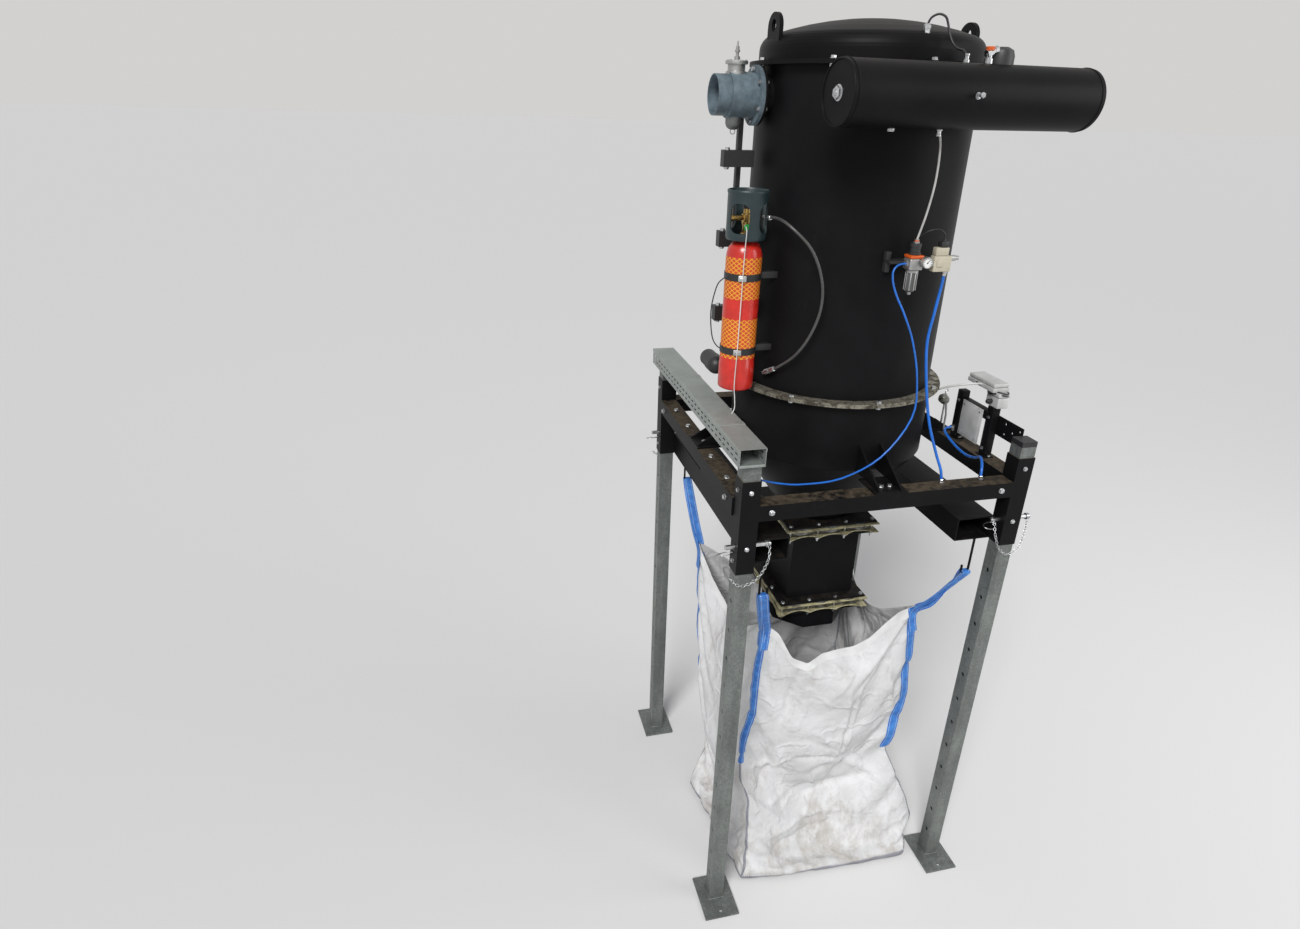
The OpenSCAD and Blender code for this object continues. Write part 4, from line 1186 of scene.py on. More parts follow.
class TOWER_OT_seals(bpy.types.Operator):
    """Adds the clamped sheets of the chute's two joints, with their bolts"""
    bl_idname = "tower.seals"
    bl_label = "Chute seals"

    def execute(self, context):
        low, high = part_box("flange_seals")
        lips, bands, bolts, nuts = [], [], [], []
        bolt, bare = hexagon_bolt(0.016, 0.090), hexagon_bolt(0.016)
        spots = (-SEAL_BOLT_EDGE, -SEAL_BOLT_PITCH / 2, SEAL_BOLT_PITCH / 2, SEAL_BOLT_EDGE)
        rim = [(x, y) for x in spots for y in spots if SEAL_BOLT_EDGE in (abs(x), abs(y))]
        for base in (low[2], high[2] - 0.054):
            lips += [self.lip(base + 0.003, 1), self.lip(base + 0.047, -1)]
            bands.append(self.band(base + 0.004, base + 0.050))
            bolts += [aim((x, y, base + 0.062), UP, x * 9 + y) for x, y in rim]
            nuts += [aim((x, y, base - 0.008), DOWN, y * 7) for x, y in rim]
        hand_over(smooth(join(*lips), 60), "seal_lips", "seal_sheet", replaces=("flange_seals",))
        hand_over(smooth(join(*bands), 60), "seal_bands", "seal_sheet", "clear_band")
        hand_over(join(spread(bolt, bolts), spread(bare, nuts)), "seal_bolts", "zinc")
        return {"FINISHED"}

    def ring(self, steps, place):
        """A square ring of sheet: a place along the side, out from the axis and up, for each step and row."""
        verts = []
        for row in range(4):
            for side in range(4):
                turn = Matrix.Rotation(side * math.pi / 2, 3, "Z")
                for k in range(steps):
                    t = 2 * k / steps - 1
                    reach, height = place(side, t, row)
                    flat = turn @ Vector((t * reach, -reach, 0))
                    verts.append((flat.x, flat.y, height))
        return edit(sheet("ring", verts, wrapped(4 * steps, 3)), outwards)

    def lip(self, height, way):
        """A sheet held at the bolts, whose edge draws in and lifts between them."""
        chance = random.Random(int(height * 100))
        swells = [chance.uniform(0.7, 1.15) for _ in range(16)]

        def place(side, t, row):
            reach = LIP_REACH[row]
            bolt = (t * reach + SEAL_BOLT_EDGE) / SEAL_BOLT_PITCH
            slack = max(0, math.sin(math.pi * (bolt % 1))) ** 0.7 if 0 < bolt < 3 else 0
            slack *= swells[side * 4 + min(3, max(0, int(bolt)))]
            drawn = reach - LIP_DRAW[row] * slack
            return drawn, height + LIP_LIFT[row] * slack * way
        return thick(self.ring(54, place), 0.0042, 0)

    def band(self, low, high):
        """The clear strip between two lips, bowed out between the bolts."""
        def place(side, t, row):
            bow = abs(math.sin(math.pi * (t * 0.205 + SEAL_BOLT_EDGE) / SEAL_BOLT_PITCH))
            reach = BAND_REACH + BAND_BOW * bow + BAND_ROWS[row]
            return reach, low + (high - low) * row / 3
        return thick(self.ring(36, place), 0.002, 0, 1)


# Radii of the bolt circles of the joint and the neck, and the angles of their first bolts in degrees
JOINT_BOLT_RADIUS, NECK_BOLT_RADIUS = 0.473, 0.459
JOINT_FIRST, NECK_FIRST = -135.6, -88
# Middles of the posts, top of the beams, and outer faces of the post sleeves
POST_X, POST_Y = 0.62, 0.63
BEAM_TOP = 2.291
SLEEVE_FACE_X, SLEEVE_FACE_Y = 0.66, 0.670
# Middle of the outlet flange, and radius of its bolt circle
OUTLET_Y, OUTLET_Z, OUTLET_BOLTS = -0.02, 3.765, 0.093
# Half the side of the square weld round a post's foot, and the order of its points
WELD_REACH = 0.038
WELD_CORNERS = ((-1, -1), (0, -1), (1, -1), (1, 0), (1, 1), (0, 1), (-1, 1), (-1, 0))


class TOWER_OT_bolts(bpy.types.Operator):
    """Adds the bolts of the vessel's joints, of the stand and of the outlet flange"""
    bl_idname = "tower.bolts"
    bl_label = "Bolts"

    def execute(self, context):
        big, small = hexagon_bolt(0.019), hexagon_bolt(0.015)
        joint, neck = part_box("lower_flange"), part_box("shell_collar")
        heads = around(JOINT_BOLT_RADIUS, joint[1][2], 8, JOINT_FIRST)
        heads += around(JOINT_BOLT_RADIUS, joint[0][2], 8, JOINT_FIRST, DOWN)
        heads += around(NECK_BOLT_RADIUS, neck[1][2] + 0.008, 8, NECK_FIRST)
        heads += around(NECK_BOLT_RADIUS, neck[0][2], 8, NECK_FIRST, DOWN)
        for x in SIDES:
            heads += [aim((0.526 * x, SLEEVE_FACE_Y * y, 2.250), (0, y, 0)) for y in SIDES]
            heads += [aim((0.630 * x, y, BEAM_TOP)) for y in (-0.408, -0.186, 0.186, 0.408)]
            heads += [aim((0.668 * x, y, 2.254), (x, 0, 0)) for y in (-0.507, 0.507)]
            heads += [aim((0.020 * x, 0.612 * y, BEAM_TOP)) for y in SIDES]
            heads += [aim((0.612 * x, 0.020 * x, BEAM_TOP))]
        hand_over(spread(big, heads), "joint_bolts", "zinc")
        posts = [(x, y) for x in SIDES for y in SIDES]
        screws = [aim((POST_X * x, SLEEVE_FACE_Y * y, z), (0, y, 0))
                  for x, y in posts for z in (2.090, 2.345)]
        screws += [aim((SLEEVE_FACE_X * x, POST_Y * y, z), (x, 0, 0))
                   for x, y in posts for z in (2.02, 2.345)]
        for turn in (math.radians(30 + 60 * k) for k in range(6)):
            y, z = OUTLET_Y + OUTLET_BOLTS * math.cos(turn), OUTLET_Z + OUTLET_BOLTS * math.sin(turn)
            screws += [aim((-0.494, y, z), LEFT), aim((-0.468, y, z), RIGHT)]
        hand_over(spread(small, screws), "stand_screws", "zinc")
        beads = []
        for x, y in posts:
            corners = [(POST_X * x + WELD_REACH * a, POST_Y * y + WELD_REACH * b, 0.012)
                       for a, b in WELD_CORNERS]
            beads.append(tube(corners, 0.009, True, 2))
        hand_over(join(*beads), "foot_welds", "galvanised")
        return {"FINISHED"}


# Chains of the pins in millimetres from the pin's near end: along X, out of the post's side or front, and up
LEFT_CHAIN = ((190, "side", 16, -12), (178, "front", -10, -50), (145, "front", 0, -115),
              (105, "front", 0, -150), (55, "front", 0, -158), (18, "front", -20, -130))
RIGHT_CHAIN = ((10, "side", 16, -12), (8, "front", -10, -60), (35, "front", 0, -125), (85, "front", 0, -155),
               (135, "front", 0, -120), (172, "front", -30, -50), (190, "side", 0, -14))
# Distance of the hanging chains from the tower's middle, and the way from link to link
CHAIN_FRONT = 0.684
LINK_PITCH = 0.0125


class TOWER_OT_pins(bpy.types.Operator):
    """Adds the locking pins with their rings and chains"""
    bl_idname = "tower.pins"
    bl_label = "Locking pins"

    def execute(self, context):
        low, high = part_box("locking_pins")
        height = (low[2] + high[2]) / 2
        pin = lathe((7.5, 0, 10, 3, 10, 176, 15, 177, 15, 184, 10, 185, 10, 197, 8, 200), sides=24)
        pin = join(pin, put(oval(0.013, 0.013, 0.003), (0, 0, 0.190), RIGHT))
        link = oval(0.0085, 0.0052, 0.0024)
        pins, links, rings = [], [], []
        for x in SIDES:
            for y in SIDES:
                near = low[0] if x < 0 else high[0] - 0.2
                depths = {"side": POST_Y * y, "front": CHAIN_FRONT * y}
                pins.append(aim((near, depths["side"], height), RIGHT))
                path = [(near + along_x / 1000, depths[face] + out * y / 1000, height + up / 1000)
                        for along_x, face, out, up in (LEFT_CHAIN if x < 0 else RIGHT_CHAIN)]
                links += self.chain(path)
                rings.append(aim((near + 0.004, depths["side"], height - 0.030), (1, 0.15, 0), 0.3 * x))
        hand_over(spread(pin, pins), "pin_rods", "zinc", replaces=("locking_pins",))
        hand_over(spread(link, links), "pin_chains", "zinc")
        hand_over(spread(oval(0.034, 0.021, 0.0035), rings), "pin_rings", "zinc")
        return {"FINISHED"}

    def chain(self, path):
        """Places of the links along a path, each turned against the last."""
        line = smooth_line(path, 10)
        places, left = [], 0.0
        for a, b in zip(line, line[1:]):
            step = (b - a).length
            while left < step:
                places.append(aim(a.lerp(b, left / step), b - a, (len(places) % 2) * math.pi / 2 + 0.4))
                left += LINK_PITCH
            left -= step
        return places


# Outline of the bottle: radii, and heights above the ground in millimetres
BOTTLE_PROFILE = (58, 2624, 66, 2620, 73, 2624, 75.5, 2631, 75.5, 2729, 73.8, 2732, 73.8, 3165, 72.5, 3185,
                  67, 3206, 56, 3224, 42, 3235, 30, 3241, 28, 3242.5)
STRAP_HEIGHTS = (2.792, 3.098)
# Routes of the two cords at the bottle, in metres from its axis and from the ground
TRIGGER_ROUTE = ((-0.022, -0.040, 3.300), (-0.030, -0.090, 3.285), (-0.031, -0.088, 3.20),
                 (-0.032, -0.088, 3.0), (-0.034, -0.090, 2.80), (-0.038, -0.094, 2.66),
                 (-0.036, -0.106, 2.600), (-0.040, -0.120, 2.560), (-0.060, -0.130, 2.535))
STRAP_CORD_ROUTE = ((-0.070, -0.020, 3.098), (-0.090, -0.016, 3.088), (-0.112, -0.008, 3.055),
                    (-0.128, 0, 2.957), (-0.118, 0, 2.851), (-0.096, -0.006, 2.806), (-0.068, -0.022, 2.792))
# Profiles of the guard and of the hose's ends, and the turn of the guard's first window in degrees
GUARD_WALL = (30, 0, 76, 0, 80, 6, 81, 16, 81, 176, 83.5, 180, 83.5, 187, 81, 190, 76, 190, 74, 186,
              74, 12, 30, 8)
GUARD_FIRST_WINDOW = -42
HOSE_NOZZLE = (7, 0, 11.5, 1, 11.5, 14, 8.5, 15, 8.5, 30, 9.5, 31, 9.5, 44, 7, 46)
HOSE_SPOUT = (5, -30, 6.5, -29, 6.5, -12, 12, -11, 12, 12, 8.5, 13, 8.5, 18, 11.5, 19, 11.5, 46, 7, 48)


class TOWER_OT_bottle(bpy.types.Operator):
    """Adds the extinguishing bottle with its guard, valve, straps and trigger wire"""
    bl_idname = "tower.bottle"
    bl_label = "Bottle"

    def execute(self, context):
        low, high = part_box("bottle")
        axis = Vector(((low[0] + high[0]) / 2, (low[1] + high[1]) / 2, 0))
        body = lathe(BOTTLE_PROFILE, axis, sides=64, angle=50)
        hand_over(body, "bottle_body", "red_paint", "bottle_coat", replaces=("bottle",))
        self.guard(axis)
        self.valve(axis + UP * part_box("bottle_valve")[0][2])
        self.straps(axis)
        cords = (("trigger_wire", TRIGGER_ROUTE, 0.004, "pale_plastic", "white_wire"),
                 ("strap_cord", STRAP_CORD_ROUTE, 0.005, "black_rubber", None))
        for name, route, diameter, slot, material in cords:
            line = smooth_line([axis + Vector(point) for point in route], 6)
            free_cord(name, line, diameter, slot, material)
        return {"FINISHED"}

    def guard(self, axis):
        """The slotted collar round the valve, open at the top."""
        wall = lathe(GUARD_WALL, sides=64, angle=40)
        for turn in range(4):
            hole = block((-40, 40), (-200, 0), (28, 142), 32, 5)
            cut(wall, settle(hole, Matrix.Rotation(math.radians(GUARD_FIRST_WINDOW + 90 * turn), 4, "Z")))
        put(smooth(wall, 40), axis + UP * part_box("bottle_guard")[0][2])
        hand_over(wall, "guard_collar", "grey_casting", "slate_paint", replaces=("bottle_guard",))

    def valve(self, base):
        """Brass valve with its side outlet, hose nozzles, gauge and green seal."""
        stem = (20, 0, 22, 4, 22, 22, 16, 26, 16, 60, 19, 62, 19, 98, 15, 102, 15, 118, 9, 121)
        body = join(lathe(stem, sides=28),
                    lathe((10, 0, 10, 46, 13, 47, 13, 58), (0.012, 0, 0.083), RIGHT, 24),
                    lathe((9, 0, 9, 30, 13, 31, 13, 40), (0, -0.012, 0.055), (-0.3, -1, 0), 24),
                    block((-18, 18), (-18, 18), (66, 96), 4))
        hand_over(put(body, base), "valve_brass", "brass", replaces=("bottle_valve",))
        knob = join(lathe((17, 0, 19, 3, 19, 20, 15, 24), (0, 0, 0.118)),
                    lathe((12, 0, 14, 2, 14, 30, 10, 34), (-0.016, -0.030, 0.088), (-0.3, -1, 0.2)))
        hand_over(put(knob, base), "valve_knobs", "black_plastic")
        spot = base + Vector((-0.014, -0.050, 0.052))
        seal = lathe((11, 0, 13.5, 2, 13.5, 14, 11, 17), spot, (-0.3, -1, 0))
        hand_over(seal, "valve_seal", "pale_plastic", "green_plastic")
        start, after, before, end = (route_end("bottle_hose", index) for index in (0, 1, -2, -1))
        nozzle = lathe(HOSE_NOZZLE, start - (after - start).normalized() * 0.012, after - start)
        hand_over(join(nozzle, lathe(HOSE_SPOUT, end, before - end)), "hose_nozzles", "zinc")

    def straps(self, axis):
        """Two bands with buckles, and the blocks that carry them."""
        bands, blocks, buckles = [], [], []
        for height in STRAP_HEIGHTS:
            place = axis + UP * height
            bands.append(put(thick(lathe((76.5, -14, 76.5, 14), sides=64), 0.002), place))
            blocks.append(block((66, 150), (-14, 14), (-14, 14), 3, at=place))
            buckle = join(block((-17, 17), (-6, 2), (-12, 12), 3), block((-11, 11), (-9, -5), (-4, 4), 1))
            front = Matrix.Translation(place + Vector((-0.35, -0.936, 0)) * 0.080)
            buckles.append(settle(buckle, front @ Matrix.Rotation(-0.36, 4, "Z")))
        hand_over(join(*bands, *blocks), "strap_bands", "black_plastic", replaces=("bottle_straps",))
        hand_over(join(*buckles), "strap_buckles", "zinc")


# Middle of the air tank, its turn from the X axis in degrees, and the profiles of its fittings
TANK_MIDDLE = (0.108, -0.552, 3.775)
TANK_TURN = 5
TANK_DISC = (106.9, 0, 106.9, 13.5, 104.5, 16.5, 101.5, 16.5, 100, 12.5, 30, 12.5)
PUSH_IN = (11, -8, 11, 8, 7.5, 9, 7.5, 20, 9, 21, 9, 27)
GLAND = (15, -30, 15, -8, 11, -7, 11, 2, 13, 3, 13, 14, 8, 19)


class TOWER_OT_tank(bpy.types.Operator):
    """Adds the air tank's ends, plugs and fittings, and the fittings on the lid"""
    bl_idname = "tower.tank"
    bl_label = "Air tank fittings"

    def execute(self, context):
        ends, plugs, beads = [], [], []
        for x in SIDES:
            out = (x, 0, 0)
            ends.append(lathe(TANK_DISC, (0.501 * x, 0, 0), out, 96))
            plug = join(lathe((26, 0, 26, 2, 24, 3), sides=28), nut((21.5, 2, 21.5, 11, 18, 14)),
                        lathe((10, 13, 9, 16.5), sides=16))
            plugs.append(put(plug, (0.5135 * x, 0, 0), out))
            bead = tube(circle(120, lambda t: (0.107 * math.cos(t), 0.107 * math.sin(t), 0)), 0.005, True, 2)
            beads.append(put(bead, (0.4995 * x, 0, 0), RIGHT))
        ends = join(*ends, *beads)
        stud = nut((6, 0, 6, 20, 10, 21, 10, 33, 8, 36), (-0.030, -0.108, 0.004), (-0.5, -1, 0))
        plugs = join(*plugs, stud, put(hexagon_bolt(0.017), (-0.040, -0.1065, 0.002), FRONT),
                     put(hexagon_bolt(0.019), (-0.290, 0.003, -0.1065), DOWN))
        for piece in (ends, plugs):
            settle(piece, Matrix.Translation(TANK_MIDDLE) @ Matrix.Rotation(math.radians(TANK_TURN), 4, "Z"))
        hand_over(ends, "tank_discs", "black_paint", replaces=("tank_ends",))
        fittings = join(plugs, lathe(PUSH_IN, route_end("lid_hose", -1)),
                        nut(GLAND, route_end("lid_hose", 0)),
                        lathe(PUSH_IN, route_end("riser_hose", 0), DOWN),
                        lathe(GLAND, (0.176, -0.540, 3.905)),
                        nut(GLAND, (0.192, -0.540, 3.922), (1, 0, 0.4)))
        hand_over(fittings, "tank_fittings", "zinc")
        coil = lathe((30, 0, 46, 4, 46, 40, 40, 58, 22, 68), (0.236, -0.520, 3.868), sides=40, angle=30)
        foot = block((205, 268), (-555, -485), (3866, 3878), 3)
        hand_over(join(coil, foot), "tank_valve", "black_plastic")
        ring = lathe((13.5, 0, 15.5, 2, 15.5, 12, 13.5, 14), (0.176, -0.540, 3.921))
        hand_over(ring, "tank_ring", "black_plastic", "orange_plastic")
        return {"FINISHED"}


# Middle of the regulator's body, and of its dial, in metres
REGULATOR = Vector((0.022, -0.520, 3.180))
DIAL = Vector((0.054, -0.548, 3.204))


class TOWER_OT_regulator(bpy.types.Operator):
    """Adds the air regulator with its bowl, gauge, shut-off valve and fittings"""
    bl_idname = "tower.regulator"
    bl_label = "Regulator"

    def execute(self, context):
        def near(x, y, z):
            return REGULATOR + Vector(metres((x, y, z)))

        def here(x, y, z, width, segments=2):
            return block(x, y, z, width, segments, REGULATOR)
        grip = (20, 0, 22.5, 2, 22.5, 10, 19.5, 11, 19.5, 28, 21.5, 29, 21.5, 40, 19, 43)
        knob = lathe(grip, near(-1, 0, 48), sides=26, angle=20)
        mount = join(here((-82, 178), (28, 110), (8, 20), 2), here((-82, -62), (60, 105), (-30, 50), 4), knob)
        hand_over(mount, "regulator_black", "black_plastic", replaces=("air_regulator",))
        body = join(here((-28, 28), (-26, 28), (-8, 36), 6, 3),
                    lathe((23.5, 0, 23.5, 8, 21.5, 10), near(0, 0, -18), sides=32),
                    lathe((6, 0, 8, 3, 8, 18, 13, 20), near(0, 0, -104)),
                    nut((9, 0, 9, 14, 11.5, 15, 11.5, 30), near(-2, 0, 14), LEFT),
                    nut((13, 0, 13, 34, 10, 36), near(28, 0, 12), RIGHT),
                    nut((12, 0, 12, 14), near(68, 0, 12), RIGHT),
                    lathe((11.5, 0, 11.5, 20, 9, 22, 9, 34), near(164, 14, 30), RIGHT, 24),
                    lathe((10, 0, 10, 10, 8.5, 11, 8.5, 20), (0.172, -0.506, 3.162), DOWN))
        hand_over(body, "regulator_body", "zinc", "alloy")
        collar = join(here((-28.5, 28.5), (-26.5, 28.5), (36, 48), 4),
                      lathe((7.5, 0, 8.5, 1, 8.5, 10), near(0, 0, 92)))
        hand_over(collar, "regulator_collar", "black_plastic", "orange_plastic")
        bowl = lathe((10, -94, 17, -90, 20.5, -80, 20.5, -18), REGULATOR, sides=32, angle=50)
        hand_over(bowl, "regulator_bowl", "pale_plastic", "smoked_plastic")
        guard = [put(block((-2.5, 2.5), (-23.5, -20.5), (-86, -18), 1), REGULATOR, UP, turn)
                 for turn in (math.pi * k / 4 + 0.2 for k in range(8))]
        rise = nut((11.5, 0, 11.5, 10, 8.5, 12, 8.5, 20), near(0, 0, 86))
        hand_over(join(*guard, rise), "regulator_guard", "zinc", "alloy")
        self.gauge()
        self.valve()
        return {"FINISHED"}

    def gauge(self):
        """The gauge's case, its dial, and plain marks with a needle."""
        case = lathe((20.5, 0, 22, 2, 22, 19, 20.5, 21.5, 18.5, 21.5, 18.5, 18, 2, 18), DIAL, FRONT, 40)
        hand_over(case, "gauge_case", "zinc", "alloy")
        dial = lathe((18.4, 17.5, 18.4, 18.6), DIAL, FRONT, 40)
        hand_over(dial, "gauge_dial", "pale_plastic", "dial_white", replaces=("gauge",))
        marks = [put(block((-0.6, 0.6), (13, 17.2), (18.5, 19)), DIAL, FRONT, math.radians(a))
                 for a in range(-135, 136, 27)]
        marks.append(put(block((-0.7, 0.7), (-4, 13.5), (19, 19.8)), DIAL, FRONT, math.radians(-40)))
        marks.append(lathe((2.5, 18.6, 2.5, 20.2), DIAL, FRONT, 16))
        hand_over(join(*marks), "gauge_marks", "black_plastic")

    def valve(self):
        """The shut-off valve's block, its coil and the lead over it."""
        low, high = (Vector(corner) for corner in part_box("control_valve"))
        deep = (high.y - low.y) * 1000

        def here(x, y, z, width):
            return block(x, y, z, width, at=low)
        body = join(here((0, 76), (0, deep), (0, 60), 4), here((3, 60), (2, deep - 2), (60.5, 92), 4),
                    here((12, 40), (-3, 2), (18, 46), 3))
        hand_over(body, "valve_block", "pale_plastic", "beige_plastic", replaces=("control_valve",))
        coil = join(here((22, 54), (2, deep - 2), (92, 114), 3),
                    lathe((8, 0, 8, 8, 5, 10), low + Vector((0.038, 0.016, 0.113)), sides=16))
        hand_over(coil, "valve_coil", "black_plastic")
        x, y = low.x, low.y
        lead = smooth_line([(x + 0.038, y + 0.016, 3.276), (x + 0.036, y + 0.014, 3.300),
                            (x + 0.010, y + 0.020, 3.318), (x - 0.030, y + 0.036, 3.306),
                            (x - 0.052, -0.455, 3.270), (x - 0.050, -0.436, 3.235)], 6)
        free_cord("valve_lead", lead, 0.005, "black_rubber", None)


# Axis of the operating cylinder on the outlet head, and heights of the side rail's bolts
CYLINDER_AXIS = (-0.566, -0.020, 0)
RAIL_BOLTS_UP = (2.935, 3.250, 3.565)
RAIL_BOLTS_DOWN = (2.871, 3.186, 3.501)


class TOWER_OT_outlet(bpy.types.Operator):
    """Adds the operating cylinder and drain bowl of the outlet head, and the rail's bolts"""
    bl_idname = "tower.outlet"
    bl_label = "Outlet head"

    def execute(self, context):
        barrel = lathe((40, 3836, 40, 3848, 34, 3850, 34, 3872, 43, 3873, 44, 3875, 44, 3884, 42, 3886,
                        30, 3886, 29, 3884, 12, 3884), sides=48)
        needle = lathe((11, 3884, 11, 3900, 6, 3901, 6, 3914, 10, 3915, 10, 3922, 7, 3923, 7, 3934, 4, 3936,
                        3, 3953), sides=16)
        screws = [lathe((4.5, 3885, 4.5, 3889), (0.036 * math.cos(a), 0.036 * math.sin(a), 0), sides=12)
                  for a in (math.pi * (k + 0.5) / 3 for k in range(6))]
        hand_over(put(join(barrel, needle, *screws), CYLINDER_AXIS), "outlet_barrel", "dark_casting", "alloy",
                  replaces=("outlet_valve",))
        bowl = lathe((8, 3640, 16, 3642, 26, 3650, 31, 3662, 32, 3700), sides=48, angle=50)
        hook = circle(16, lambda t: (0.010 * math.sin(t), 0, 3.634 - 0.010 * math.cos(t)))
        hand_over(put(join(bowl, tube(hook, 0.003, True, 2)), CYLINDER_AXIS), "outlet_bowl", "dark_casting")
        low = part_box("side_rail")[0]
        x, y = low[0] + 0.020, low[1] + 0.021
        bolts = [aim((x, y, z)) for z in RAIL_BOLTS_UP] + [aim((x, y, z), DOWN) for z in RAIL_BOLTS_DOWN]
        hand_over(spread(hexagon_bolt(0.017), bolts), "rail_bolts", "zinc")
        return {"FINISHED"}


class TOWER_OT_tray(bpy.types.Operator):
    """Adds the cable tray: a slotted channel with a clipped cover"""
    bl_idname = "tower.tray"
    bl_label = "Cable tray"

    def execute(self, context):
        (x0, y0, z0), (x1, y1, z1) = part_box("cable_tray")
        channel = box((x0 + 0.002, y0, z0), (x1 - 0.002, y1, z1 - 0.004))
        open_up(channel, lambda centre, normal: normal.z > 0.5 or abs(normal.y) > 0.5)
        hand_over(smooth(thick(channel, 0.0025)), "tray_channel", "galvanised", "slotted_zinc",
                  replaces=("cable_tray",))
        cover = box((x0, y0, z1 - 0.014), (x1, y1, z1))
        open_up(cover, lambda centre, normal: normal.z < -0.5 or abs(normal.y) > 0.5)
        finished(thick(cover, 0.002), BEVEL={"width": 0.0012, "segments": 2})
        seams = [box((x0 - 0.0015, y - 0.018, z1 - 0.016), (x1 + 0.0015, y + 0.018, z1 + 0.0012), 0.0008)
                 for y in (-0.42, 0.20)]
        lips = [box((x0 + 0.002, y - 0.003, z0), (x1 - 0.002, y + 0.003, z0 + 0.010), 0.001)
                for y in (y0 + 0.004, y1 - 0.004)]
        hand_over(smooth(join(cover, *seams, *lips)), "tray_cover", "galvanised", "tray_zinc")
        return {"FINISHED"}


# Y of the two control posts, and Y and Z of the holes in the mounting plate
CONTROL_POSTS = (-0.17, -0.40)
PLATE_HOLES = ((-0.565, 2.470), (-0.565, 2.422), (-0.520, 2.446), (-0.470, 2.470), (-0.470, 2.422))
# The bar and the plate, then the boxes, in millimetres: X, Y, Z, width of the rounded edges and its segments
CONTROL_BARS = (((602, 638), (-381, -189), (2460, 2500), 3), ((640, 646), (-585, -360), (2401, 2491), 2))
CONTROL_BOXES = (
    ((594.5, 600), (-360, -210), (2330, 2500), 2), ((592.5, 595), (-350, -220), (2340, 2490), 1),
    ((602, 658), (-438, -352), (2531, 2580), 5, 3), ((600, 660), (-440, -350), (2581.5, 2601), 5, 3),
    ((580, 660), (-420, -230), (2601.5, 2622), 3), ((582, 658), (-418, -232), (2622.5, 2641), 6, 3),
)
SENSOR_ROUTE = ((0.580, -0.330, 2.616), (0.562, -0.328, 2.617), (0.530, -0.318, 2.614),
                (0.490, -0.292, 2.602), (0.460, -0.258, 2.584), (0.440, -0.228, 2.564),
                (0.426, -0.208, 2.544))


class TOWER_OT_controls(bpy.types.Operator):
    """Adds the control group on the right beam: posts, plates, boxes and fittings"""
    bl_idname = "tower.controls"
    bl_label = "Control group"

    def execute(self, context):
        frames = [block((-20, 20), (-20, 20), (0, 240), 3, at=(0.620, y, BEAM_TOP)) for y in CONTROL_POSTS]
        frames += [block((-24, 24), (-34, 34), (0, 7), 2, at=(0.620, y, BEAM_TOP)) for y in CONTROL_POSTS]
        bar, plate = (block(*sizes) for sizes in CONTROL_BARS)
        for y, z in PLATE_HOLES:
            cut(plate, lathe((6, -30, 6, 30), (0.643, y, z), RIGHT, 16))
        steel = smooth(join(*frames, bar, plate))
        hand_over(steel, "control_frame", "black_paint", replaces=("control_stand",))
        boxes = join(*[block(*sizes) for sizes in CONTROL_BOXES])
        hand_over(boxes, "control_boxes", "pale_plastic", replaces=("control_box",))
        self.metal()
        plugs = [lathe((10, 0, 10, 20, 7, 26), (0.600, -0.395, 2.556), LEFT),
                 lathe((9, 0, 9, 16, 6, 22), (0.600, -0.300, 2.612), LEFT)]
        turns = [(0.630 + (0.036 + 0.006 * math.sin(3 * t)) * math.cos(t), -0.395 + 0.050 * math.sin(t),
                  2.586 + 0.0016 * t + 0.004 * math.sin(2 * t))
                 for t in (math.pi * k / 12 for k in range(60))]
        hand_over(join(*plugs, tube(turns, 0.006)), "control_jacks", "black_plastic")
        line = smooth_line(SENSOR_ROUTE, 6)
        free_cord("sensor_cable", line, 0.010, "grey_hose", "white_wire")
        self.sensor()
        return {"FINISHED"}

    def metal(self):
        """Screws, the eye on its rod, and the fittings where hoses end at the beams."""
        screws = [aim((0.640, y, z), RIGHT) for y in CONTROL_POSTS for z in (2.33, 2.48)]
        screws += [aim((0.600, y, z), LEFT) for y in CONTROL_POSTS for z in (2.33, 2.48)]
        screws += [aim((0.6205, y, 2.298)) for y in (-0.198, -0.142, -0.428, -0.372)]
        screws = spread(hexagon_bolt(0.012), screws)
        heads = [lathe((4, 0, 3.5, 2), (0.5925, y, z), LEFT, 12)
                 for y in (-0.342, -0.228) for z in (2.348, 2.482)]
        rod = tube([(0.624, -0.032, z) for z in (BEAM_TOP, 2.38, 2.462)], 0.010)
        eye = put(oval(0.014, 0.014, 0.006), (0.624, -0.032, 2.474), UP, 0.6)
        entry = nut((11, -4, 11, 10, 9, 11, 9, 18), route_end("beam_hose", 0), LEFT)
        glands = [nut((13, -4, 13, 6, 10, 7, 10, 16, 8.5, 18), route_end(name, -1))
                  for name in ("beam_hose", "valve_hose", "regulator_hose")]
        hand_over(join(screws, *heads, rod, eye, entry, *glands), "control_metal", "zinc")

    def sensor(self):
        """The clear level sensor beside the joint ring, on its short bracket."""
        cup = lathe((6, -20, 20, -18, 24, -8, 24, 14, 16, 22, 10, 26, 10, 36, 4, 38), (0.585, -0.076, 2.452),
                    (-0.8, -0.3, 0.6), 28)
        hand_over(cup, "sensor_cup", "pale_plastic", "clear_band")
        stem = tube([(0.612, -0.076, BEAM_TOP), (0.612, -0.076, 2.37), (0.600, -0.076, 2.440)], 0.010)
        hand_over(stem, "sensor_stem", "zinc")


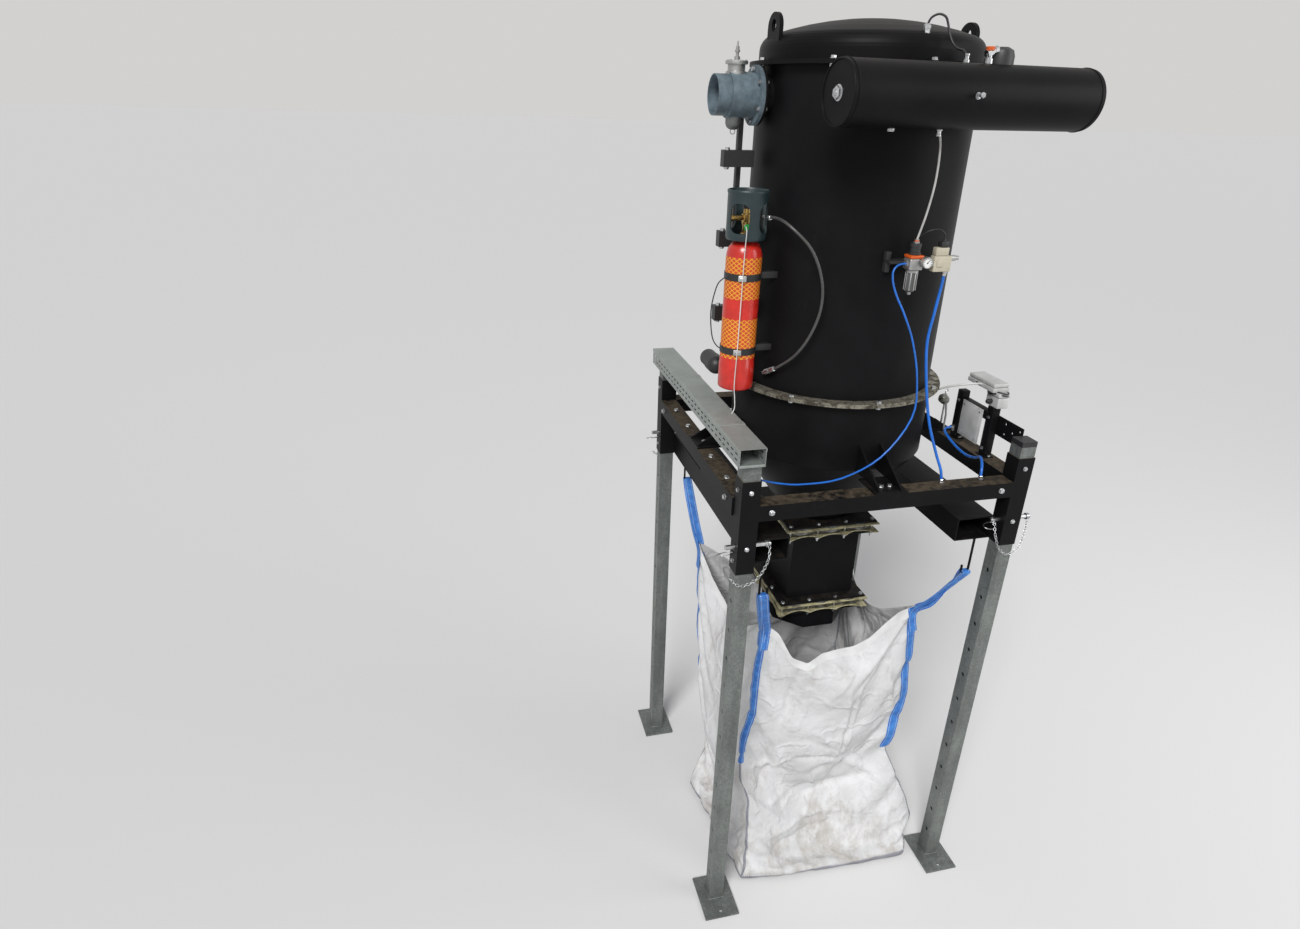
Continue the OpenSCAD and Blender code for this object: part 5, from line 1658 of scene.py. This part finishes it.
# The CAD nodes by their material. The rest, the side inlet and the hoses, are black rubber
NODE_FINISHES = {
    "galvanised": "foot_plates legs",
    "stand_paint": "post_sleeves front_beam rear_beam left_beam right_beam",
    "black_paint": "fork_pockets lower_shell shell_brackets upper_shell shell_collar lid lifting_lugs "
                   "outlet_spigot air_tank discharge_chute bag_hooks control_stand",
    "black_plastic": "post_caps side_rail tank_ends bottle_straps",
    "pale_plastic": "gauge control_valve control_box",
    "grey_casting": "outlet_head outlet_valve bottle_guard",
    "dark_casting": "air_regulator",
    "zinc": "locking_pins",
    "flange_steel": "lower_flange",
    "red_paint": "bottle",
    "brass": "bottle_valve",
    "seal_sheet": "flange_seals",
    "woven_white": "big_bag",
    "blue_webbing": "bag_straps",
    "tray_zinc": "cable_tray",
}


class TOWER_OT_finishes(bpy.types.Operator):
    """Gives each solid that stays in sight its material"""
    bl_idname = "tower.finishes"
    bl_label = "Finishes of the solids"

    def execute(self, context):
        materials = {name: material for material, names in NODE_FINISHES.items() for name in names.split()}
        for name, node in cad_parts.items():
            node.data.materials.clear()
            node.data.materials.append(finish(materials.get(name, "black_rubber")))
        return {"FINISHED"}


STEPS = (TOWER_OT_stage, TOWER_OT_hoses, TOWER_OT_finishes, TOWER_OT_bag, TOWER_OT_seals, TOWER_OT_bolts,
         TOWER_OT_pins, TOWER_OT_bottle, TOWER_OT_tank, TOWER_OT_regulator, TOWER_OT_outlet, TOWER_OT_tray,
         TOWER_OT_controls)
SETTINGS = {"tower_stage": StageSettings, "tower_paint": PaintSettings, "tower_hoses": HoseSettings}


class TOWER_PT_pieces(bpy.types.Panel):
    """The pieces of the tower, in the order in which they are made"""
    bl_idname = "TOWER_PT_pieces"
    bl_label = "Separator Tower"
    bl_space_type = "VIEW_3D"
    bl_region_type = "UI"
    bl_category = "Tower"

    def draw(self, context):
        for step in STEPS:
            self.layout.operator(step.bl_idname)
        for name, group in SETTINGS.items():
            rows = self.layout.box()
            for key in group.__annotations__:
                rows.prop(getattr(context.scene, name), key)


def register():
    for cls in (*SETTINGS.values(), *STEPS, TOWER_PT_pieces):
        bpy.utils.register_class(cls)
    for name, group in SETTINGS.items():
        setattr(bpy.types.Scene, name, PointerProperty(type=group))


def unregister():
    for name in SETTINGS:
        delattr(bpy.types.Scene, name)
    for cls in reversed((*SETTINGS.values(), *STEPS, TOWER_PT_pieces)):
        bpy.utils.unregister_class(cls)


def main():
    register()
    for step in STEPS:
        only()
        getattr(bpy.ops.tower, step.bl_idname.split(".")[1])()
    only()


if __name__ == "__main__":
    main()
